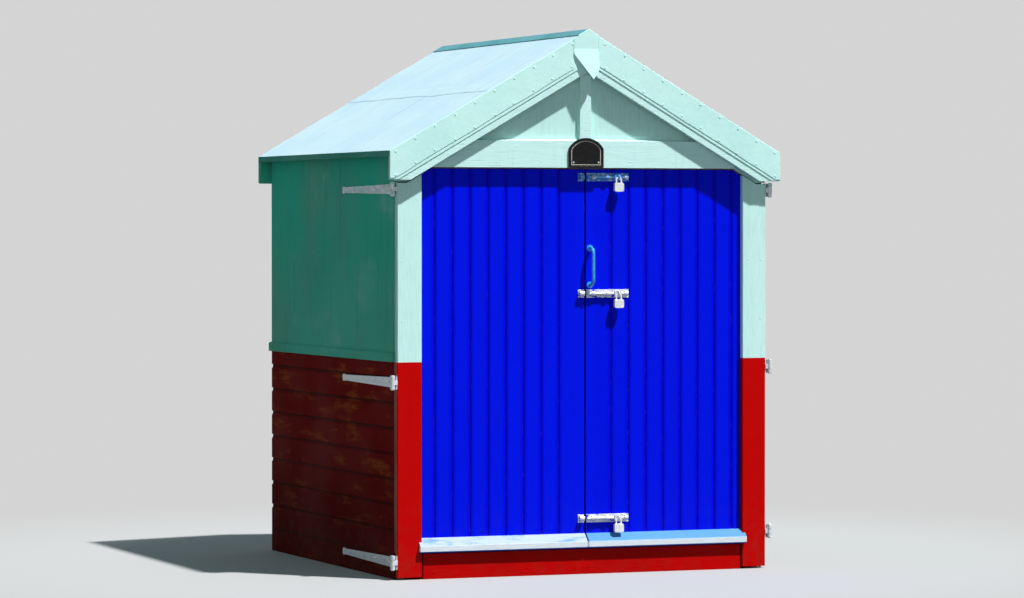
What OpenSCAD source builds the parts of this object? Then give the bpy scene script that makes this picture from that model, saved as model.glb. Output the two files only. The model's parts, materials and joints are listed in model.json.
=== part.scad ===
// A timber beach hut, six feet square: a pitched felt roof, sheeted and boarded walls,
// and two boarded door leaves hung at the outer front corners on long iron bands.
// Millimetres. +Z is up, the doors face -Y, the origin is the middle of the footprint at ground level.

/* [Hut] */
// Width over the side walls
hut_w = 1830; // [1700:10:2200]
// Depth from the face of the corner boards to the face of the back wall
hut_d = 1830; // [1600:10:2400]
// Height of the felt over the side walls, above the underside of the gable
wall_rise = 104; // [96:1:130]
// Pitch of both roof slopes, in degrees
pitch = 30; // [28:1:32]
// Side of the square posts and rails of the walls
post_t = 44; // [38:1:60]
// Thickness of the wall sheets and of the shiplap boards
clad_t = 14; // [10:1:20]

/* [Base and floor] */
// Height of the base beams, with the floor level with them
beam_h = 115; // [90:5:150]
// Thickness of the side and back base beams
beam_t = 50; // [40:1:70]
// Thickness of the floor boards
floor_t = 20; // [15:1:30]
// Number of floor joists
joists = 3; // [2:1:5]
// How far the threshold lies behind the face of the corner boards
threshold_set = 6; // [0:1:12]
// Room between the threshold and each corner board
threshold_gap = 9; // [7:1:14]
// Depth of the threshold behind the line of the wall ends
threshold_in = 45; // [30:1:60]

/* [Walls] */
// Height where the red boards end and the green sheet begins
dado_z = 985; // [800:5:1200]
// Height that one shiplap board covers
ship_pitch = 115; // [90:1:150]
// Height of the scooped top of a shiplap board
scoop_h = 20; // [12:1:28]
// Depth of the scoop
scoop_d = 6; // [3:0.5:8]
// Height of the cover batten over the joint
cover_h = 45; // [30:1:60]
// Thickness of the cover batten
cover_t = 12; // [8:1:15]

/* [Gable] */
// Thickness of the front gable sheet
gable_t = 12; // [8:1:14]
// How far the gable sheet lies behind the face of the corner boards
gable_set = 9; // [6:1:20]
// Height of the head board across the foot of the gable
head_board_h = 130; // [100:1:150]
// Width of the upright middle board
king_w = 55; // [40:1:80]
// Thickness of the head board and the middle board
trim_t = 20; // [12:1:24]
// Fall of the head board's weathered top
trim_fall = 6; // [3:1:10]
// Width of the number plate
plate_w = 172; // [120:2:200]
// Height of the number plate
plate_h = 137; // [100:1:160]
// Radius of the arched top of the number plate
plate_arch_r = 99; // [96:1:140]
// Thickness of the number plate
plate_t = 9; // [6:1:11]
// Width of the raised rim of the number plate
plate_rim = 9; // [5:1:14]
// Depth of the field within the rim
plate_recess = 3; // [1:0.5:5]

/* [Roof] */
// Thickness of the roof boarding
deck_t = 16; // [12:1:22]
// Thickness of the roofing felt
felt_t = 3; // [2:0.5:4]
// How far the boarding passes the side walls
eave_out = 50; // [35:1:80]
// How far the bargeboards stand out from the front and back faces
verge_out = 45; // [32:1:60]
// Thickness of a bargeboard
barge_t = 20; // [15:1:22]
// Depth of a bargeboard, square to the slope
barge_h = 162; // [130:1:180]
// Height of the upright end of a bargeboard at the eaves
barge_end_h = 130; // [110:1:150]
// Depth of the felt folded down over a bargeboard, square to the slope
felt_fold = 133; // [60:1:150]
// Height of the felt turned down over the eaves
felt_drop = 24; // [20:1:40]
// How far the right felt laps over the left one at the apex
lap_w = 74; // [50:1:100]
// Height of the upright end of that lap
lap_end_h = 70; // [50:1:90]
// How far the pointed tongue of the lap hangs below the fold
tongue_h = 75; // [40:1:90]
// Place of the tongue's point, right of the apex
tongue_x = 16; // [0:1:25]
// Where the tongue runs out into the fold, right of the apex
tongue_end_x = 48; // [40:1:70]
// Depth of the crease where the lap starts to stand off, below the felt at the lap's end
crease_down = 45; // [30:1:60]
// How far the tongue's point stands off the fold
tongue_lift = 21; // [5:1:30]
// Width of the ridge strip on each slope
ridge_strip_w = 50; // [40:5:150]
// Width of a rafter
rafter_w = 38; // [30:1:50]
// Depth of a rafter
rafter_h = 60; // [50:1:80]
// Upright height of a rafter at its outer end
rafter_heel = 26; // [20:1:35]
// Number of rafters on each slope
rafters_n = 4; // [3:1:6]
// Depth of the ridge beam
ridge_beam_h = 100; // [80:1:140]

/* [Doors] */
// Height of the underside of the gable over the door leaves
head_z = 1868; // [1840:1:1880]
// Height of the door stop under the head beam
stop_h = 40; // [30:1:50]
// Thickness of the door stop
stop_t = 24; // [16:1:32]
// Room over the leaves
head_gap = 6; // [5:1:10]
// Room between the slanting top of a leaf and the bargeboard
rake_gap = 13; // [12:1:20]
// Room under the leaves
sill_gap = 7; // [5:1:12]
// Room between a closed leaf and the ends of the side walls
edge_gap = 5; // [5:1:9]
// Place of the line where the leaves meet, right of the middle
meet_x = 12; // [-20:1:20]
// Room between the leaves
meet_gap = 8; // [7:1:12]
// Width of the corner board of a leaf
corner_w = 118; // [100:1:140]
// Thickness of the corner board
corner_t = 25; // [20:1:30]
// Width of the eased front edges of the corner board
corner_ease = 3; // [1:0.5:5]
// Room between the corner board and the ground
corner_foot = 10; // [8:1:20]
// Thickness of the door boards
board_t = 17; // [14:1:20]
// Width of the board at the meeting edge
edge_board_w = 126; // [100:1:140]
// Width that each other door board covers
board_pitch = 87; // [75:1:110]
// Width of the V-joints
vee_w = 12; // [5:1:14]
// Depth of the V-joints
vee_d = 4.5; // [3:0.5:6]
// Height of the ledges behind the boards
ledger_h = 100; // [80:1:120]
// Thickness of the ledges and braces
ledger_t = 28; // [20:1:32]
// Distance of the ledges from the meeting edge
ledger_in = 8; // [5:1:20]
// Room between the ledges and the posts, the floor and the door stop
ledger_gap = 12; // [10:1:20]
// Width of the braces between the ledges
brace_w = 120; // [90:5:140]
// Distance of the braces from the ends of the ledges
brace_in = 20; // [10:5:60]
// Height of the sloping drip board at the foot of a leaf
drip_h = 66; // [50:1:80]
// How far the drip board stands out from the boards
drip_out = 45; // [32:1:50]
// How far the drip board laps over the corner board
drip_lap = 14; // [8:1:20]
// Room between the drip board and the top of the threshold
drip_gap = 5; // [5:1:8]
// Thickness of the drip board at its top
drip_top_t = 7; // [5:1:12]
// Radius of the drip board's nose
nose_r = 8; // [5:1:10]
// Radius of the throat under the drip board
throat_r = 3; // [2:0.5:4]

/* [Hinges] */
// Heights of the two lower hinges on the left
left_hinge_z = [78, 893]; // [45:1:1600]
// Heights of the two lower hinges on the right
right_hinge_z = [173, 945]; // [45:1:1600]
// Room between the top hinges and the feet of the bargeboards
top_hinge_gap = 7; // [6:1:60]
// How far the pin line lies outside the side wall
pin_out = 22; // [20:1:26]
// Radius of the hinge pins
pin_r = 5; // [4:0.5:6]
// Radial clearance of a pin in the eye of the leaf's plate
pin_clear = 0.1; // [0.05:0.05:0.2]
// Height of the riveted heads of a pin
pin_head_h = 3; // [2:0.5:4]
// How far those heads stand out past the pin
pin_head_out = 2.5; // [1:0.5:4]
// Outer radius of the rolled eyes
eye_r = 10.5; // [9:0.5:12]
// Height over the eyes of one hinge
hinge_h = 62; // [50:1:64]
// Height of the middle eye
mid_eye_h = 21; // [15:1:30]
// Room above and below the middle eye
eye_gap = 1.5; // [1:0.5:2]
// Thickness of the iron band
band_t = 5; // [4:0.5:6]
// Room round the middle eye in the fork of the band
fork_room = 4.5; // [3:0.5:8]
// Where the crank of the band starts, behind the ends of the side walls
crank_at = 6; // [4:1:12]
// Length of the crank
crank_l = 20; // [15:1:40]
// Length of the band from the pin line
band_l = 745; // [500:5:900]
// Height of the band where it reaches the wall
band_h = 46; // [36:1:56]
// Height of the band at its tip
band_tip_h = 26; // [18:1:30]
// Radius of the round end of the band
band_end_r = 17; // [14:1:22]
// Thickness of the plate screwed to the edge of the leaf
flap_t = 4; // [3:0.5:5]
// Distance of that plate from the front and back of the corner board
flap_in = 2; // [1:0.5:4]
// Thickness of the web from the plate to the middle eye
web_t = 6; // [4:0.5:8]

/* [Bolts, padlocks and handle] */
// Heights of the two lower bolts
low_bolt_z = [254, 1290]; // [254:1:1600]
// Distance of the top bolt from the underside of the gable
top_bolt_in = 42; // [40:1:80]
// Length of a bolt's back plate
bolt_plate_l = 210; // [180:1:240]
// Height of the back plates
bolt_plate_h = 38; // [32:1:46]
// Thickness of the back plates
bolt_plate_t = 3; // [2:0.5:4]
// Radius of the round bolt
bolt_r = 7; // [5:0.5:8]
// Distance of the bolt's middle from the boards
bolt_out = 12.5; // [12:0.5:14]
// Thickness of the straps that hold the bolt
strap_t = 4; // [3:0.5:5]
// Length of a strap along the bolt
strap_l = 16; // [12:1:24]
// Distances of the straps from the start of the back plate
strap_at = [22, 92, 186]; // [5:1:190]
// Distance of the plates from the edges of the leaves
plate_in = 2; // [1:0.5:4]
// Length of a keeper
keeper_l = 30; // [24:1:36]
// Room round the bolt in its keeper
keeper_room = 1; // [0.5:0.5:2]
// Distance of the padlock from the start of the back plate
lock_at = 150; // [140:1:170]
// Width of the bolt's tongue
tongue_w = 34; // [30:1:40]
// Height of the tongue
tongue_plate_h = 28; // [26:1:34]
// Thickness of the tongue
tongue_t = 5; // [4:0.5:6]
// Radius of the staple's bend
staple_r = 10; // [9:0.5:12]
// Radius of the staple's rod
staple_rod_r = 3.5; // [3:0.5:4]
// Radius of the shackle's bend
shackle_r = 12; // [11:0.5:14]
// Length of the shackle's straight legs
shackle_leg = 12; // [8:1:16]
// Radius of the shackle's rod
shackle_rod_r = 4; // [3:0.5:4.5]
// Width of a padlock
lock_w = 46; // [38:1:56]
// Radius of a padlock's corners
lock_corner_r = 8; // [4:1:12]
// Height of a padlock's body
lock_h = 40; // [34:1:40]
// Thickness of a padlock's body
lock_t = 18; // [14:1:20]
// Height of the handle's lower foot
handle_z = 1330; // [1330:1:1400]
// Distance between the middles of the handle's feet
handle_l = 170; // [140:1:200]
// Distance of the handle from the edge of the leaf
handle_in = 19; // [18:1:40]
// Radius of the handle's rod
handle_r = 8; // [6:0.5:10]
// Distance from the boards to the middle of the handle's grip
handle_out = 45; // [35:1:46]
// Radius of the handle's bends
handle_bend_r = 28; // [20:1:34]
// How far the handle's feet stand out past its rod
handle_foot_out = 7; // [4:1:10]
// Thickness of the handle's feet
handle_foot_t = 4; // [3:0.5:6]

/* [Hidden] */

$fn = 48;

// Paints and metals
green = "#b9e8db";
red = "#b30d0d";
blue = "#0a22cf";
pale_blue = "#a9d8f5";
bare_wood = "#c9a878";
felt = "#bfe6e2";
zinc = "#c4c8cc";
black = "#15171a";

// Room left where sloping faces meet, and between pieces of one kind that must stay apart
seat = 0.3;

// Faces across the hut
half_w = hut_w / 2;
frame_x = half_w - clad_t;
room_x = frame_x - post_t;
corner_in_x = half_w - corner_w;
eave_x = half_w + eave_out;
felt_x = eave_x + felt_t;

// Faces from front to back
front_y = -hut_d / 2;
back_y = hut_d / 2;
board_y = front_y + corner_t;
leaf_back_y = board_y + board_t;
wall_y = leaf_back_y + edge_gap;
gable_y = front_y + gable_set;
gable_in_y = gable_y + gable_t;
trim_y = gable_y - trim_t;
frame_back_y = back_y - clad_t;
room_back_y = frame_back_y - post_t;
barge_y = back_y + verge_out;
barge_in_y = barge_y - barge_t;
felt_y = barge_y + felt_t;

// Height of the felt at the ridge, and of the roof's faces at a distance x from the middle
ridge_z = head_z + wall_rise + half_w * tan(pitch);
function felt_top(x) = ridge_z - abs(x) * tan(pitch);
function deck_top(x) = felt_top(x) - felt_t / cos(pitch);
function deck_low(x) = deck_top(x) - deck_t / cos(pitch);
function barge_low(x) = deck_top(x) - barge_h / cos(pitch);
function fold_low(x) = felt_top(x) - felt_fold / cos(pitch);

// Level foot of the bargeboards, and where their lower edge meets it
foot_z = deck_top(eave_x) - barge_end_h;
foot_x = (barge_low(0) - foot_z) / tan(pitch);
fold_foot_z = foot_z + felt_t;
fold_foot_x = (fold_low(0) - fold_foot_z) / tan(pitch);

// Where the slanting top of a leaf meets its level top
leaf_top_z = head_z - head_gap;
rake_x = (barge_low(0) - rake_gap - leaf_top_z) / tan(pitch);
sill_z = beam_h + sill_gap;

// Heights in the wall framing
plate_top_z = deck_low(frame_x) - rafter_heel;
plate_low_z = plate_top_z - post_t;
rafter_drop = rafter_h / cos(pitch);
head_top_z = deck_low(room_x) - rafter_drop - seat;
stop_z = head_z - stop_h;

// Pin line of the right leaf, and the leaf widths
pin_x = half_w + pin_out;
right_leaf_w = half_w - meet_x - meet_gap / 2;
left_leaf_w = half_w + meet_x - meet_gap / 2;

// Hinges: heights, half the fork's height, and the stretch of the crank
top_hinge_z = foot_z - top_hinge_gap - pin_head_h - hinge_h / 2;
left_hinges = concat(left_hinge_z, top_hinge_z);
right_hinges = concat(right_hinge_z, top_hinge_z);
fork = mid_eye_h / 2 + eye_gap;
crank_y = wall_y + crank_at;
flat_y = crank_y + crank_l;

// Bolts and padlocks
bolt_z = concat(low_bolt_z, head_z - top_bolt_in);
bolt_y = board_y - bolt_out;
bolt_x = half_w - right_leaf_w + plate_in;
lock_x = bolt_x + lock_at;
tongue_y = bolt_y - bolt_r + 2;
shackle_y = tongue_y - tongue_t - shackle_rod_r - 2.5;

// A box given by its lowest and highest corners
module block(lo, hi) {
    translate(lo) cube(hi - lo);
}

// An outline in X and Z, drawn out from y0 to y1
module along_y(y0, y1) {
    translate([0, y1, 0]) rotate([90, 0, 0]) linear_extrude(y1 - y0) children();
}

// An outline in Y and Z, drawn out from x0 to x1
module along_x(x0, x1) {
    translate([x0, 0, 0]) rotate([90, 0, 90]) linear_extrude(x1 - x0) children();
}

// An outline in X and Y, drawn up from z0 to z1
module along_z(z0, z1) {
    translate([0, 0, z0]) linear_extrude(z1 - z0) children();
}

// The left-hand twin of a piece drawn on the right
module on_left() {
    mirror([1, 0, 0]) children();
}

// A piece and its left-hand twin
module on_both() {
    children();
    on_left() children();
}

// The area below the top line of the leaves: level in the middle, then down along the rakes
module below_leaf_line(extra) {
    reach = half_w + 1;
    intersection() {
        translate([-reach, 0]) square([2 * reach, leaf_top_z + extra]);
        polygon([
            [-reach, 0], [reach, 0],
            [reach, foot_z - rake_gap + extra], [foot_x, foot_z - rake_gap + extra],
            [0, barge_low(0) - rake_gap + extra],
            [-foot_x, foot_z - rake_gap + extra], [-reach, foot_z - rake_gap + extra]
        ]);
    }
}

// Base and floor

module threshold_beam() {
    nose_x = corner_in_x - threshold_gap;
    tail_x = half_w - beam_t;
    color(red) along_z(0, beam_h) polygon([
        [-nose_x, front_y + threshold_set], [nose_x, front_y + threshold_set],
        [nose_x, wall_y], [tail_x, wall_y],
        [tail_x, wall_y + threshold_in], [-tail_x, wall_y + threshold_in],
        [-tail_x, wall_y], [-nose_x, wall_y]
    ]);
}

module base_beams() {
    in_x = half_w - beam_t;
    color(red) {
        on_both() block([in_x, wall_y, 0], [half_w, back_y, beam_h]);
        block([-in_x + seat, back_y - beam_t, 0], [in_x - seat, back_y, beam_h]);
    }
}

module floor_joists() {
    in_x = half_w - beam_t;
    first_y = wall_y + threshold_in;
    step = (back_y - beam_t - first_y) / (joists + 1);
    color(bare_wood) for (i = [1:joists])
        block(
            [-in_x, first_y + i * step - post_t / 2, 0],
            [in_x, first_y + i * step + post_t / 2, beam_h - floor_t]
        );
}

module floor_boards() {
    in_x = half_w - beam_t;
    color(bare_wood)
        block([-in_x, wall_y + threshold_in, beam_h - floor_t], [in_x, back_y - beam_t, beam_h]);
}

// Walls

module wall_posts() {
    stud_z = beam_h + post_t;
    color(bare_wood) {
        on_both() {
            block([room_x, wall_y, beam_h], [frame_x, wall_y + post_t, plate_low_z]);
            block([room_x, room_back_y, beam_h], [frame_x, frame_back_y, plate_low_z]);
            block([room_x, -post_t / 2, stud_z], [frame_x, post_t / 2, plate_low_z]);
        }
        block([-post_t / 2, room_back_y, stud_z], [post_t / 2, frame_back_y, plate_low_z]);
    }
}

module wall_rails() {
    rail_z = dado_z - post_t / 2;
    back_plate_x = (ridge_z - plate_top_z - (felt_t + deck_t) / cos(pitch) - rafter_drop) / tan(pitch) - seat;
    color(bare_wood) {
        on_both() {
            block([room_x, wall_y + post_t, beam_h], [frame_x, room_back_y, beam_h + post_t]);
            block([room_x, wall_y + post_t, rail_z], [frame_x, -post_t / 2, rail_z + post_t]);
            block([room_x, post_t / 2, rail_z], [frame_x, room_back_y, rail_z + post_t]);
            block([room_x, wall_y, plate_low_z], [frame_x, frame_back_y, plate_top_z]);
            block([post_t / 2, room_back_y, rail_z], [room_x, frame_back_y, rail_z + post_t]);
        }
        block([-room_x, room_back_y, beam_h], [room_x, frame_back_y, beam_h + post_t]);
        block([-back_plate_x, room_back_y, plate_low_z], [back_plate_x, frame_back_y, plate_top_z]);
    }
}

module head_beam() {
    in_y = wall_y + stop_t;
    color(bare_wood) along_x(-room_x, room_x) polygon([
        [gable_in_y, head_z], [gable_in_y, head_top_z],
        [in_y, head_top_z], [in_y, stop_z],
        [wall_y, stop_z], [wall_y, head_z]
    ]);
}

module side_panel() {
    along_y(wall_y, back_y) polygon([
        [frame_x, dado_z], [half_w, dado_z],
        [half_w, deck_low(half_w) - seat], [frame_x, deck_low(frame_x) - seat]
    ]);
}

module left_wall_panel() {
    color(green) on_left() side_panel();
}

module right_wall_panel() {
    color(green) side_panel();
}

module back_wall_panel() {
    color(green) along_y(frame_back_y, back_y) polygon([
        [-frame_x, dado_z], [frame_x, dado_z],
        [frame_x, deck_low(frame_x) - seat], [0, deck_low(0) - seat], [-frame_x, deck_low(frame_x) - seat]
    ]);
}

// Section of the shiplap: thickness outwards, boards stacked upwards, each with a scooped top
module shiplap_section() {
    boards = ceil((dado_z - beam_h) / ship_pitch);
    intersection() {
        translate([0, beam_h]) square([clad_t, dado_z - beam_h]);
        polygon(concat(
            [[0, beam_h + boards * ship_pitch], [0, beam_h]],
            [for (i = [0:boards - 1]) each [
                [clad_t, beam_h + i * ship_pitch],
                [clad_t, beam_h + (i + 1) * ship_pitch - scoop_h],
                for (a = [30:30:90]) [
                    clad_t - scoop_d * sin(a),
                    beam_h + (i + 1) * ship_pitch - scoop_h * (0.3 + 0.7 * cos(a))
                ],
                [clad_t - scoop_d, beam_h + (i + 1) * ship_pitch]
            ]]
        ));
    }
}

module side_shiplap() {
    along_y(wall_y, back_y) translate([frame_x, 0]) shiplap_section();
}

module left_wall_shiplap() {
    color(red) on_left() side_shiplap();
}

module right_wall_shiplap() {
    color(red) side_shiplap();
}

module back_wall_shiplap() {
    color(red) along_x(-frame_x, frame_x) translate([frame_back_y, 0]) shiplap_section();
}

// Section of the cover batten, weathered at its top
module cover_section() {
    polygon([
        [0, dado_z], [cover_t, dado_z], [cover_t, dado_z + cover_h - cover_t / 2], [0, dado_z + cover_h]
    ]);
}

module cover_battens() {
    color(green) {
        on_both() along_y(wall_y, back_y + cover_t) translate([half_w, 0]) cover_section();
        along_x(-half_w + seat, half_w - seat) translate([back_y, 0]) cover_section();
    }
}

// Front gable

module front_gable_panel() {
    color(green) along_y(gable_y, gable_in_y) difference() {
        polygon([
            [-half_w, 0], [half_w, 0],
            [half_w, deck_low(half_w) - seat], [0, deck_low(0) - seat], [-half_w, deck_low(half_w) - seat]
        ]);
        below_leaf_line(head_gap);
    }
}

module gable_returns() {
    low_z = foot_z - rake_gap + head_gap;
    color(green) on_both() along_y(gable_in_y, wall_y) polygon([
        [frame_x, low_z], [half_w, low_z],
        [half_w, deck_low(half_w) - seat], [frame_x, deck_low(frame_x) - seat]
    ]);
}

// Head board with a weathered top, and the middle board that stands on it
module gable_trim() {
    top_z = head_z + head_board_h;
    color(green) {
        along_x(-rake_x, rake_x) polygon([
            [gable_y, head_z], [gable_y, top_z], [trim_y, top_z - trim_fall], [trim_y, head_z]
        ]);
        along_y(trim_y, gable_y) polygon([
            [-king_w / 2, top_z - trim_fall], [king_w / 2, top_z - trim_fall],
            [king_w / 2, deck_low(king_w / 2) - seat], [0, deck_low(0) - seat],
            [-king_w / 2, deck_low(king_w / 2) - seat]
        ]);
    }
}

// Outline of the number plate, drawn in by a margin
module plate_outline(margin) {
    top_z = head_z + plate_h;
    intersection() {
        translate([-plate_w / 2 + margin, head_z + margin]) square([plate_w - 2 * margin, plate_h]);
        translate([0, top_z - plate_arch_r]) circle(plate_arch_r - margin);
    }
}

module number_plate() {
    face_y = trim_y - plate_t;
    color(black) difference() {
        along_y(face_y, trim_y) plate_outline(0);
        along_y(face_y - 1, face_y + plate_recess) plate_outline(plate_rim);
    }
}

// Roof

module ridge_beam() {
    half = rafter_w / 2;
    color(bare_wood) along_y(gable_in_y, frame_back_y) polygon([
        [-half, deck_low(half) - ridge_beam_h], [half, deck_low(half) - ridge_beam_h],
        [half, deck_low(half) - seat], [0, deck_low(0) - seat], [-half, deck_low(half) - seat]
    ]);
}

module rafters() {
    half = rafter_w / 2;
    step = (frame_back_y - rafter_w - gable_in_y) / (rafters_n - 1);
    color(bare_wood) for (i = [0:rafters_n - 1])
        on_both() along_y(gable_in_y + i * step, gable_in_y + i * step + rafter_w) polygon([
            [half, deck_low(half) - seat], [half, deck_low(half) - rafter_drop],
            [room_x, deck_low(room_x) - rafter_drop], [room_x, plate_top_z],
            [frame_x, plate_top_z], [frame_x, deck_low(frame_x) - seat]
        ]);
}

module roof_boards() {
    along_y(-barge_in_y, barge_in_y) polygon([
        [0, deck_low(0)], [eave_x, deck_low(eave_x)], [eave_x, deck_top(eave_x)], [0, deck_top(0)]
    ]);
}

module left_roof_boards() {
    color(bare_wood) on_left() roof_boards();
}

module right_roof_boards() {
    color(bare_wood) roof_boards();
}

// Felt of the right slope: the sheet, the turned-down eave, and a fold over each bargeboard
module roof_felt() {
    along_y(-barge_y, barge_y) polygon([
        [0, deck_top(0)], [eave_x, deck_top(eave_x)], [eave_x, deck_top(eave_x) - felt_drop],
        [felt_x, deck_top(eave_x) - felt_drop], [felt_x, felt_top(felt_x)], [0, felt_top(0)]
    ]);
    for (y = [-felt_y, barge_y])
        along_y(y, y + felt_t) polygon([
            [0, felt_top(0)], [felt_x, felt_top(felt_x)], [felt_x, fold_foot_z],
            [fold_foot_x, fold_foot_z], [0, fold_low(0)]
        ]);
}

// Pointed end of the right fold, lapped over the left one, at the back of the hut:
// its outline crossed with its section, which leaves the fold at the crease
module apex_lap() {
    crease_z = felt_top(lap_w) - crease_down;
    tip_z = fold_low(0) - tongue_h;
    intersection() {
        along_y(felt_y, felt_y + tongue_lift + felt_t) polygon([
            [0, felt_top(0)], [-lap_w, felt_top(lap_w)], [-lap_w, felt_top(lap_w) - lap_end_h],
            [tongue_x, tip_z], [tongue_end_x, fold_low(tongue_end_x)], [tongue_end_x, felt_top(tongue_end_x)]
        ]);
        along_x(-lap_w, tongue_end_x) translate([felt_y, 0]) polygon([
            [0, ridge_z], [0, crease_z], [tongue_lift, tip_z],
            [tongue_lift + felt_t, tip_z], [felt_t, crease_z], [felt_t, ridge_z]
        ]);
    }
}

module left_roof_felt() {
    color(felt) on_left() roof_felt();
}

module right_roof_felt() {
    color(felt) {
        roof_felt();
        for (end = [0, 1]) mirror([0, end, 0]) apex_lap();
    }
}

module ridge_strip() {
    thick = felt_t / cos(pitch);
    w = ridge_strip_w;
    color(felt) along_y(-felt_y, felt_y) translate([0, seat]) polygon([
        [0, felt_top(0)], [w, felt_top(w)], [w, felt_top(w) + thick], [0, felt_top(0) + thick],
        [-w, felt_top(w) + thick], [-w, felt_top(w)]
    ]);
}

// One bargeboard of the right slope, starting at a distance from the middle
module bargeboard(start) {
    polygon([
        [start, deck_top(start)], [eave_x, deck_top(eave_x)], [eave_x, foot_z],
        [foot_x, foot_z], [start, barge_low(start)]
    ]);
}

module front_left_bargeboard() {
    color(green) on_left() along_y(-barge_y, -barge_in_y) bargeboard(0);
}

module front_right_bargeboard() {
    color(green) along_y(-barge_y, -barge_in_y) bargeboard(0);
}

module back_bargeboards() {
    color(green) on_both() along_y(barge_in_y, barge_y) bargeboard(seat / 2);
}

// Hinges

// Iron band seen from above: past the leaf's edge to the pin, cranked in to the wall
module band_plan() {
    arm_x = pin_x - eye_r;
    end_y = front_y + band_l;
    polygon([
        [arm_x, front_y], [arm_x + band_t, front_y], [arm_x + band_t, crank_y],
        [half_w + band_t, flat_y], [half_w + band_t, end_y],
        [half_w, end_y], [half_w, flat_y], [arm_x, crank_y]
    ]);
}

// The same band seen from the side: forked for the middle eye, tapered, with a round end
module band_side() {
    tip_y = front_y + band_l - band_end_r;
    difference() {
        union() {
            polygon([
                [front_y, -hinge_h / 2], [crank_y, -hinge_h / 2], [flat_y, -band_h / 2],
                [tip_y, -band_tip_h / 2], [tip_y, band_tip_h / 2],
                [flat_y, band_h / 2], [crank_y, hinge_h / 2], [front_y, hinge_h / 2]
            ]);
            translate([tip_y, 0]) circle(band_end_r);
        }
        translate([front_y - 1, -fork]) square([eye_r + fork_room, 2 * fork]);
    }
}

module hinge_band(z) {
    translate([0, 0, z]) {
        intersection() {
            along_z(-hinge_h / 2, hinge_h / 2) band_plan();
            along_x(half_w - 1, pin_x) band_side();
        }
        translate([pin_x, front_y, 0]) {
            for (z0 = [-hinge_h / 2, fork])
                translate([0, 0, z0]) cylinder(h = hinge_h / 2 - fork, r = eye_r);
            translate([0, 0, -hinge_h / 2]) cylinder(h = hinge_h, r = pin_r);
            for (z0 = [-hinge_h / 2 - pin_head_h, hinge_h / 2])
                translate([0, 0, z0]) cylinder(h = pin_head_h, r = pin_r + pin_head_out);
        }
    }
}

module left_hinge_bands() {
    color(zinc) for (z = left_hinges) on_left() hinge_band(z);
}

module right_hinge_bands() {
    color(zinc) for (z = right_hinges) hinge_band(z);
}

// Plate on the edge of the leaf, with the middle eye
module hinge_plate(z) {
    web_y = front_y - web_t / 2;
    translate([0, 0, z]) difference() {
        union() {
            block(
                [half_w, front_y + flap_in, -hinge_h / 2],
                [half_w + flap_t, board_y - flap_in, hinge_h / 2]
            );
            block([half_w, web_y, -mid_eye_h / 2], [pin_x, web_y + web_t, mid_eye_h / 2]);
            translate([pin_x, front_y, -mid_eye_h / 2]) cylinder(h = mid_eye_h, r = eye_r);
        }
        translate([pin_x, front_y, -mid_eye_h]) cylinder(h = 2 * mid_eye_h, r = pin_r + pin_clear);
    }
}

module left_hinge_plates() {
    color(zinc) for (z = left_hinges) on_left() hinge_plate(z);
}

module right_hinge_plates() {
    color(zinc) for (z = right_hinges) hinge_plate(z);
}

// Door leaves, drawn as the right one; w is the width of the leaf

module door_boards(w) {
    edge_x = half_w - w;
    joints = floor((w - edge_board_w - vee_w) / board_pitch);
    intersection() {
        along_z(sill_z, leaf_top_z) polygon(concat(
            [[half_w, board_y], [half_w, leaf_back_y], [edge_x, leaf_back_y], [edge_x, board_y]],
            [for (i = [0:joints]) let (x = edge_x + edge_board_w + i * board_pitch) each [
                [x - vee_w / 2, board_y], [x, board_y + vee_d], [x + vee_w / 2, board_y]
            ]]
        ));
        along_y(board_y, leaf_back_y) below_leaf_line(0);
    }
}

module left_door_boards() {
    color(blue) on_left() door_boards(left_leaf_w);
}

module right_door_boards() {
    color(blue) door_boards(right_leaf_w);
}

// Three ledges across the back of the boards, with a brace between each two
module door_ledges(w) {
    x0 = half_w - w + ledger_in;
    x1 = room_x - ledger_gap;
    low = beam_h + 2 * ledger_gap;
    high = stop_z - ledger_gap - ledger_h;
    middle = (low + high) / 2;
    for (z = [low, middle, high])
        block([x0, leaf_back_y, z], [x1, leaf_back_y + ledger_t, z + ledger_h]);
    for (z = [low, middle])
        along_y(leaf_back_y, leaf_back_y + ledger_t) polygon([
            [x1 - brace_in, z + ledger_h + seat], [x1 - brace_in - brace_w, z + ledger_h + seat],
            [x0 + brace_in, z + middle - low - seat], [x0 + brace_in + brace_w, z + middle - low - seat]
        ]);
}

module left_door_ledges() {
    color(bare_wood) on_left() door_ledges(left_leaf_w);
}

module right_door_ledges() {
    color(bare_wood) door_ledges(right_leaf_w);
}

// Corner board, green above and red below, its front arrises eased
module corner_board() {
    intersection() {
        along_z(corner_foot, leaf_top_z) polygon([
            [corner_in_x, board_y], [corner_in_x, front_y + corner_ease],
            [corner_in_x + corner_ease, front_y], [half_w - corner_ease, front_y],
            [half_w, front_y + corner_ease], [half_w, board_y]
        ]);
        along_y(front_y, board_y) below_leaf_line(0);
    }
}

module left_corner_board() {
    color(green) on_left() corner_board();
}

module right_corner_board() {
    color(green) corner_board();
}

// Drip board: sloping top, rounded nose, throat underneath
module drip_board(w) {
    edge_x = half_w - w;
    throat_y = board_y - drip_out + 2 * nose_r;
    low_z = beam_h + drip_gap;
    color(pale_blue) difference() {
        along_x(edge_x, corner_in_x + drip_lap) difference() {
            union() {
                polygon([
                    [board_y, low_z], [board_y, low_z + drip_h], [board_y - drip_top_t, low_z + drip_h],
                    [board_y - drip_out, low_z + drip_h * 0.45], [board_y - drip_out, low_z + nose_r],
                    [board_y - drip_out + nose_r, low_z]
                ]);
                translate([board_y - drip_out + nose_r, low_z + nose_r]) circle(nose_r);
            }
            translate([throat_y, low_z]) circle(throat_r);
        }
        block([corner_in_x - seat, front_y - seat, 0], [half_w, board_y + 1, dado_z]);
    }
}

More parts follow.
